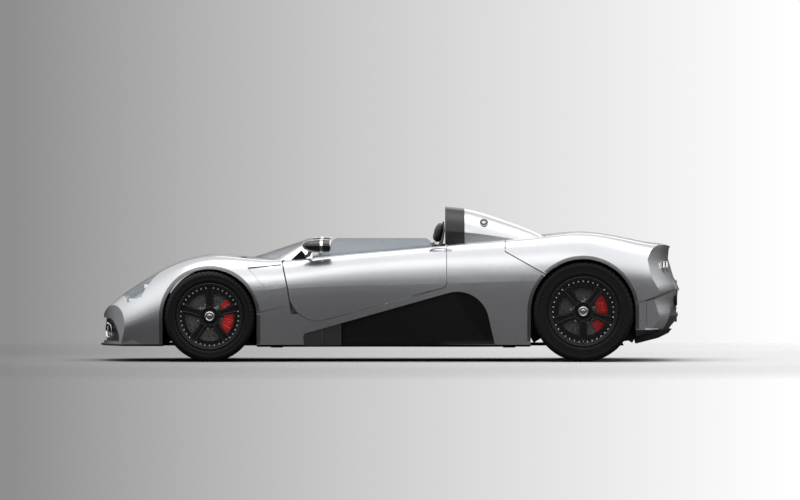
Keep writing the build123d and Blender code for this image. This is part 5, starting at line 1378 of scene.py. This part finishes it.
make_carpets()
for side, sign in SIDES:
    seat_y = sign * SEAT_Y
    make_seat_shell(side, seat_y)
    make_seat_pads(side, sign, seat_y)
    make_seat_belts(side, seat_y)
make_hand_wheel()
make_instruments()
make_dashboard()
make_console()
make_door_trims()
make_pedals()


# Stage: a pale floor that fades into a backdrop, grey at the left and white at the right

BACKDROP_LEFT, BACKDROP_RIGHT = 0.27, 1.0
# The floor under its lamps comes out a little darker than the backdrop on the left
FLOOR_LEFT = 0.305
BACKDROP_HALF_WIDTH = 2.8
FLOOR_RADIUS = 9.0
# How much of the floor's tone the paint and metal mirror
FLOOR_IN_METAL = 0.12
# Brightness by the height of the direction, as low, high, start and end: what metal sees near the horizon,
# what it sees further up, and the soft light itself
HORIZON_RAMP = (0.05, 0.48, 0.0, 0.20)
TOP_RAMP = (0.0, 0.92, 0.12, 0.42)
LIGHT_RAMP = (0.10, 0.75, -0.1, 0.9)
# How the studio brightens from nose to tail, and dims towards its far side
WIDE_RAMP = (0.75, 1.0, -0.8, 0.8)
FAR_RAMP = (1.0, 0.66, -0.2, 0.5)
# Brightness of the studio's ends by the direction along the car, ahead of the nose and behind the tail
NOSE_RAMP = (0.32, 0.0, -0.85, -0.30)
TAIL_RAMP = (0.0, 0.40, 0.35, 0.90)
FLOOR_SOLID = 3.2


def make_floor():
    mesh = bpy.data.meshes.new("floor")
    bm = bmesh.new()
    bmesh.ops.create_circle(bm, cap_ends=True, radius=FLOOR_RADIUS, segments=64)
    bm.to_mesh(mesh)
    bm.free()
    floor = bpy.data.objects.new("floor", mesh)
    bpy.context.scene.collection.objects.link(floor)
    material, shader = new_material("floor")
    tone = blend_colours(material, place_along(material, "X"), (FLOOR_LEFT,) * 3, (BACKDROP_RIGHT,) * 3,
                         -BACKDROP_HALF_WIDTH, BACKDROP_HALF_WIDTH)
    path = add_node(material, "ShaderNodeLightPath")
    seen = mix_colours(material, path.outputs["Is Glossy Ray"], tone, (*(FLOOR_IN_METAL,) * 3, 1.0), "MULTIPLY")
    join(material, seen, shader.inputs["Base Color"])
    set_sockets(shader, Roughness=0.8, Specular_IOR_Level=0.0)
    length = add_node(material, "ShaderNodeVectorMath", operation="LENGTH")
    join(material, place(material), length.inputs[0])
    fade = ramp(material, length.outputs["Value"], 1.0, 0.0, FLOOR_SOLID, FLOOR_RADIUS)
    join(material, fade, shader.inputs["Alpha"])
    mesh.materials.append(material)


def make_world():
    """The backdrop's tones for the camera and glass, a studio's bright top for metal, and soft light from above."""
    world = bpy.data.worlds.new("studio")
    bpy.context.scene.world = world
    world.use_nodes = True
    tree = world.node_tree
    tree.nodes.clear()

    def add(kind, *sources, **values):
        """A node whose first inputs take the sources; gives its first output."""
        node = tree.nodes.new(kind)
        for key, value in values.items():
            setattr(node, key, value)
        for i, source in enumerate(sources):
            tree.links.new(source, node.inputs[i])
        return node.outputs[0]

    def range_of(source, low, high, start, end):
        result = add("ShaderNodeMapRange", source)
        for key, value in (("From Min", start), ("From Max", end), ("To Min", low), ("To Max", high)):
            result.node.inputs[key].default_value = value
        return result

    def two(operation, first, second):
        return add("ShaderNodeMath", first, second, operation=operation)

    parts = add("ShaderNodeSeparateXYZ", tree.nodes.new("ShaderNodeTexCoord").outputs["Generated"]).node.outputs
    reach = BACKDROP_HALF_WIDTH / CAMERA_DISTANCE
    tone = range_of(parts["X"], BACKDROP_LEFT, BACKDROP_RIGHT, -reach, reach)
    room_tone = two("MULTIPLY", range_of(parts["X"], *WIDE_RAMP), range_of(parts["Y"], *FAR_RAMP))
    above = two("MULTIPLY", room_tone, two("ADD", range_of(parts["Z"], *HORIZON_RAMP),
                                           range_of(parts["Z"], *TOP_RAMP)))
    ends = two("ADD", range_of(parts["X"], *NOSE_RAMP), range_of(parts["X"], *TAIL_RAMP))
    light, studio, backdrop = (add("ShaderNodeBackground", source)
                               for source in (range_of(parts["Z"], *LIGHT_RAMP), two("ADD", above, ends), tone))
    path = tree.nodes.new("ShaderNodeLightPath").outputs
    seen = two("MAXIMUM", path["Is Camera Ray"], path["Is Transmission Ray"])
    unseen = add("ShaderNodeMixShader", path["Is Glossy Ray"], light, studio)
    output = tree.nodes.new("ShaderNodeOutputWorld")
    tree.links.new(add("ShaderNodeMixShader", seen, unseen, backdrop), output.inputs["Surface"])


def soft_light(name, position, target, size, power):
    lamp = bpy.data.lights.new(name, "AREA")
    lamp.shape = "RECTANGLE"
    lamp.size, lamp.size_y = size
    lamp.energy = power
    holder = bpy.data.objects.new(name, lamp)
    bpy.context.scene.collection.objects.link(holder)
    holder.location = position
    holder.rotation_euler = (Vector(target) - Vector(position)).to_track_quat("-Z", "Y").to_euler()
    holder.visible_camera = False


def make_camera():
    camera = bpy.data.objects.new("camera", bpy.data.cameras.new("camera"))
    bpy.context.scene.collection.objects.link(camera)
    dip = math.radians(CAMERA_ELEVATION)
    camera.location = (PICTURE_CENTRE[0], NEAR_SIDE_Y - CAMERA_DISTANCE * math.cos(dip),
                       PICTURE_CENTRE[1] + CAMERA_DISTANCE * math.sin(dip))
    camera.rotation_euler = (math.radians(90.0) - dip, 0.0, 0.0)
    camera.data.sensor_width = SENSOR_WIDTH
    camera.data.lens = SENSOR_WIDTH * CAMERA_DISTANCE / (PICTURE_WIDTH * METRES_PER_PIXEL)
    camera.data.clip_end = 1000.0
    bpy.context.scene.camera = camera


make_camera()
make_floor()
make_world()
soft_light("overhead", (0.0, -0.6, 5.0), (0.0, 0.0, 0.4), (7.0, 3.2), 115.0)
soft_light("near_side", (-1.0, -7.5, 4.2), (0.0, 0.0, 0.5), (6.0, 2.0), 24.0)
soft_light("far_side", (1.5, 7.0, 3.6), (0.0, 0.0, 0.5), (6.0, 2.0), 60.0)
bpy.context.scene.view_settings.view_transform = "Standard"
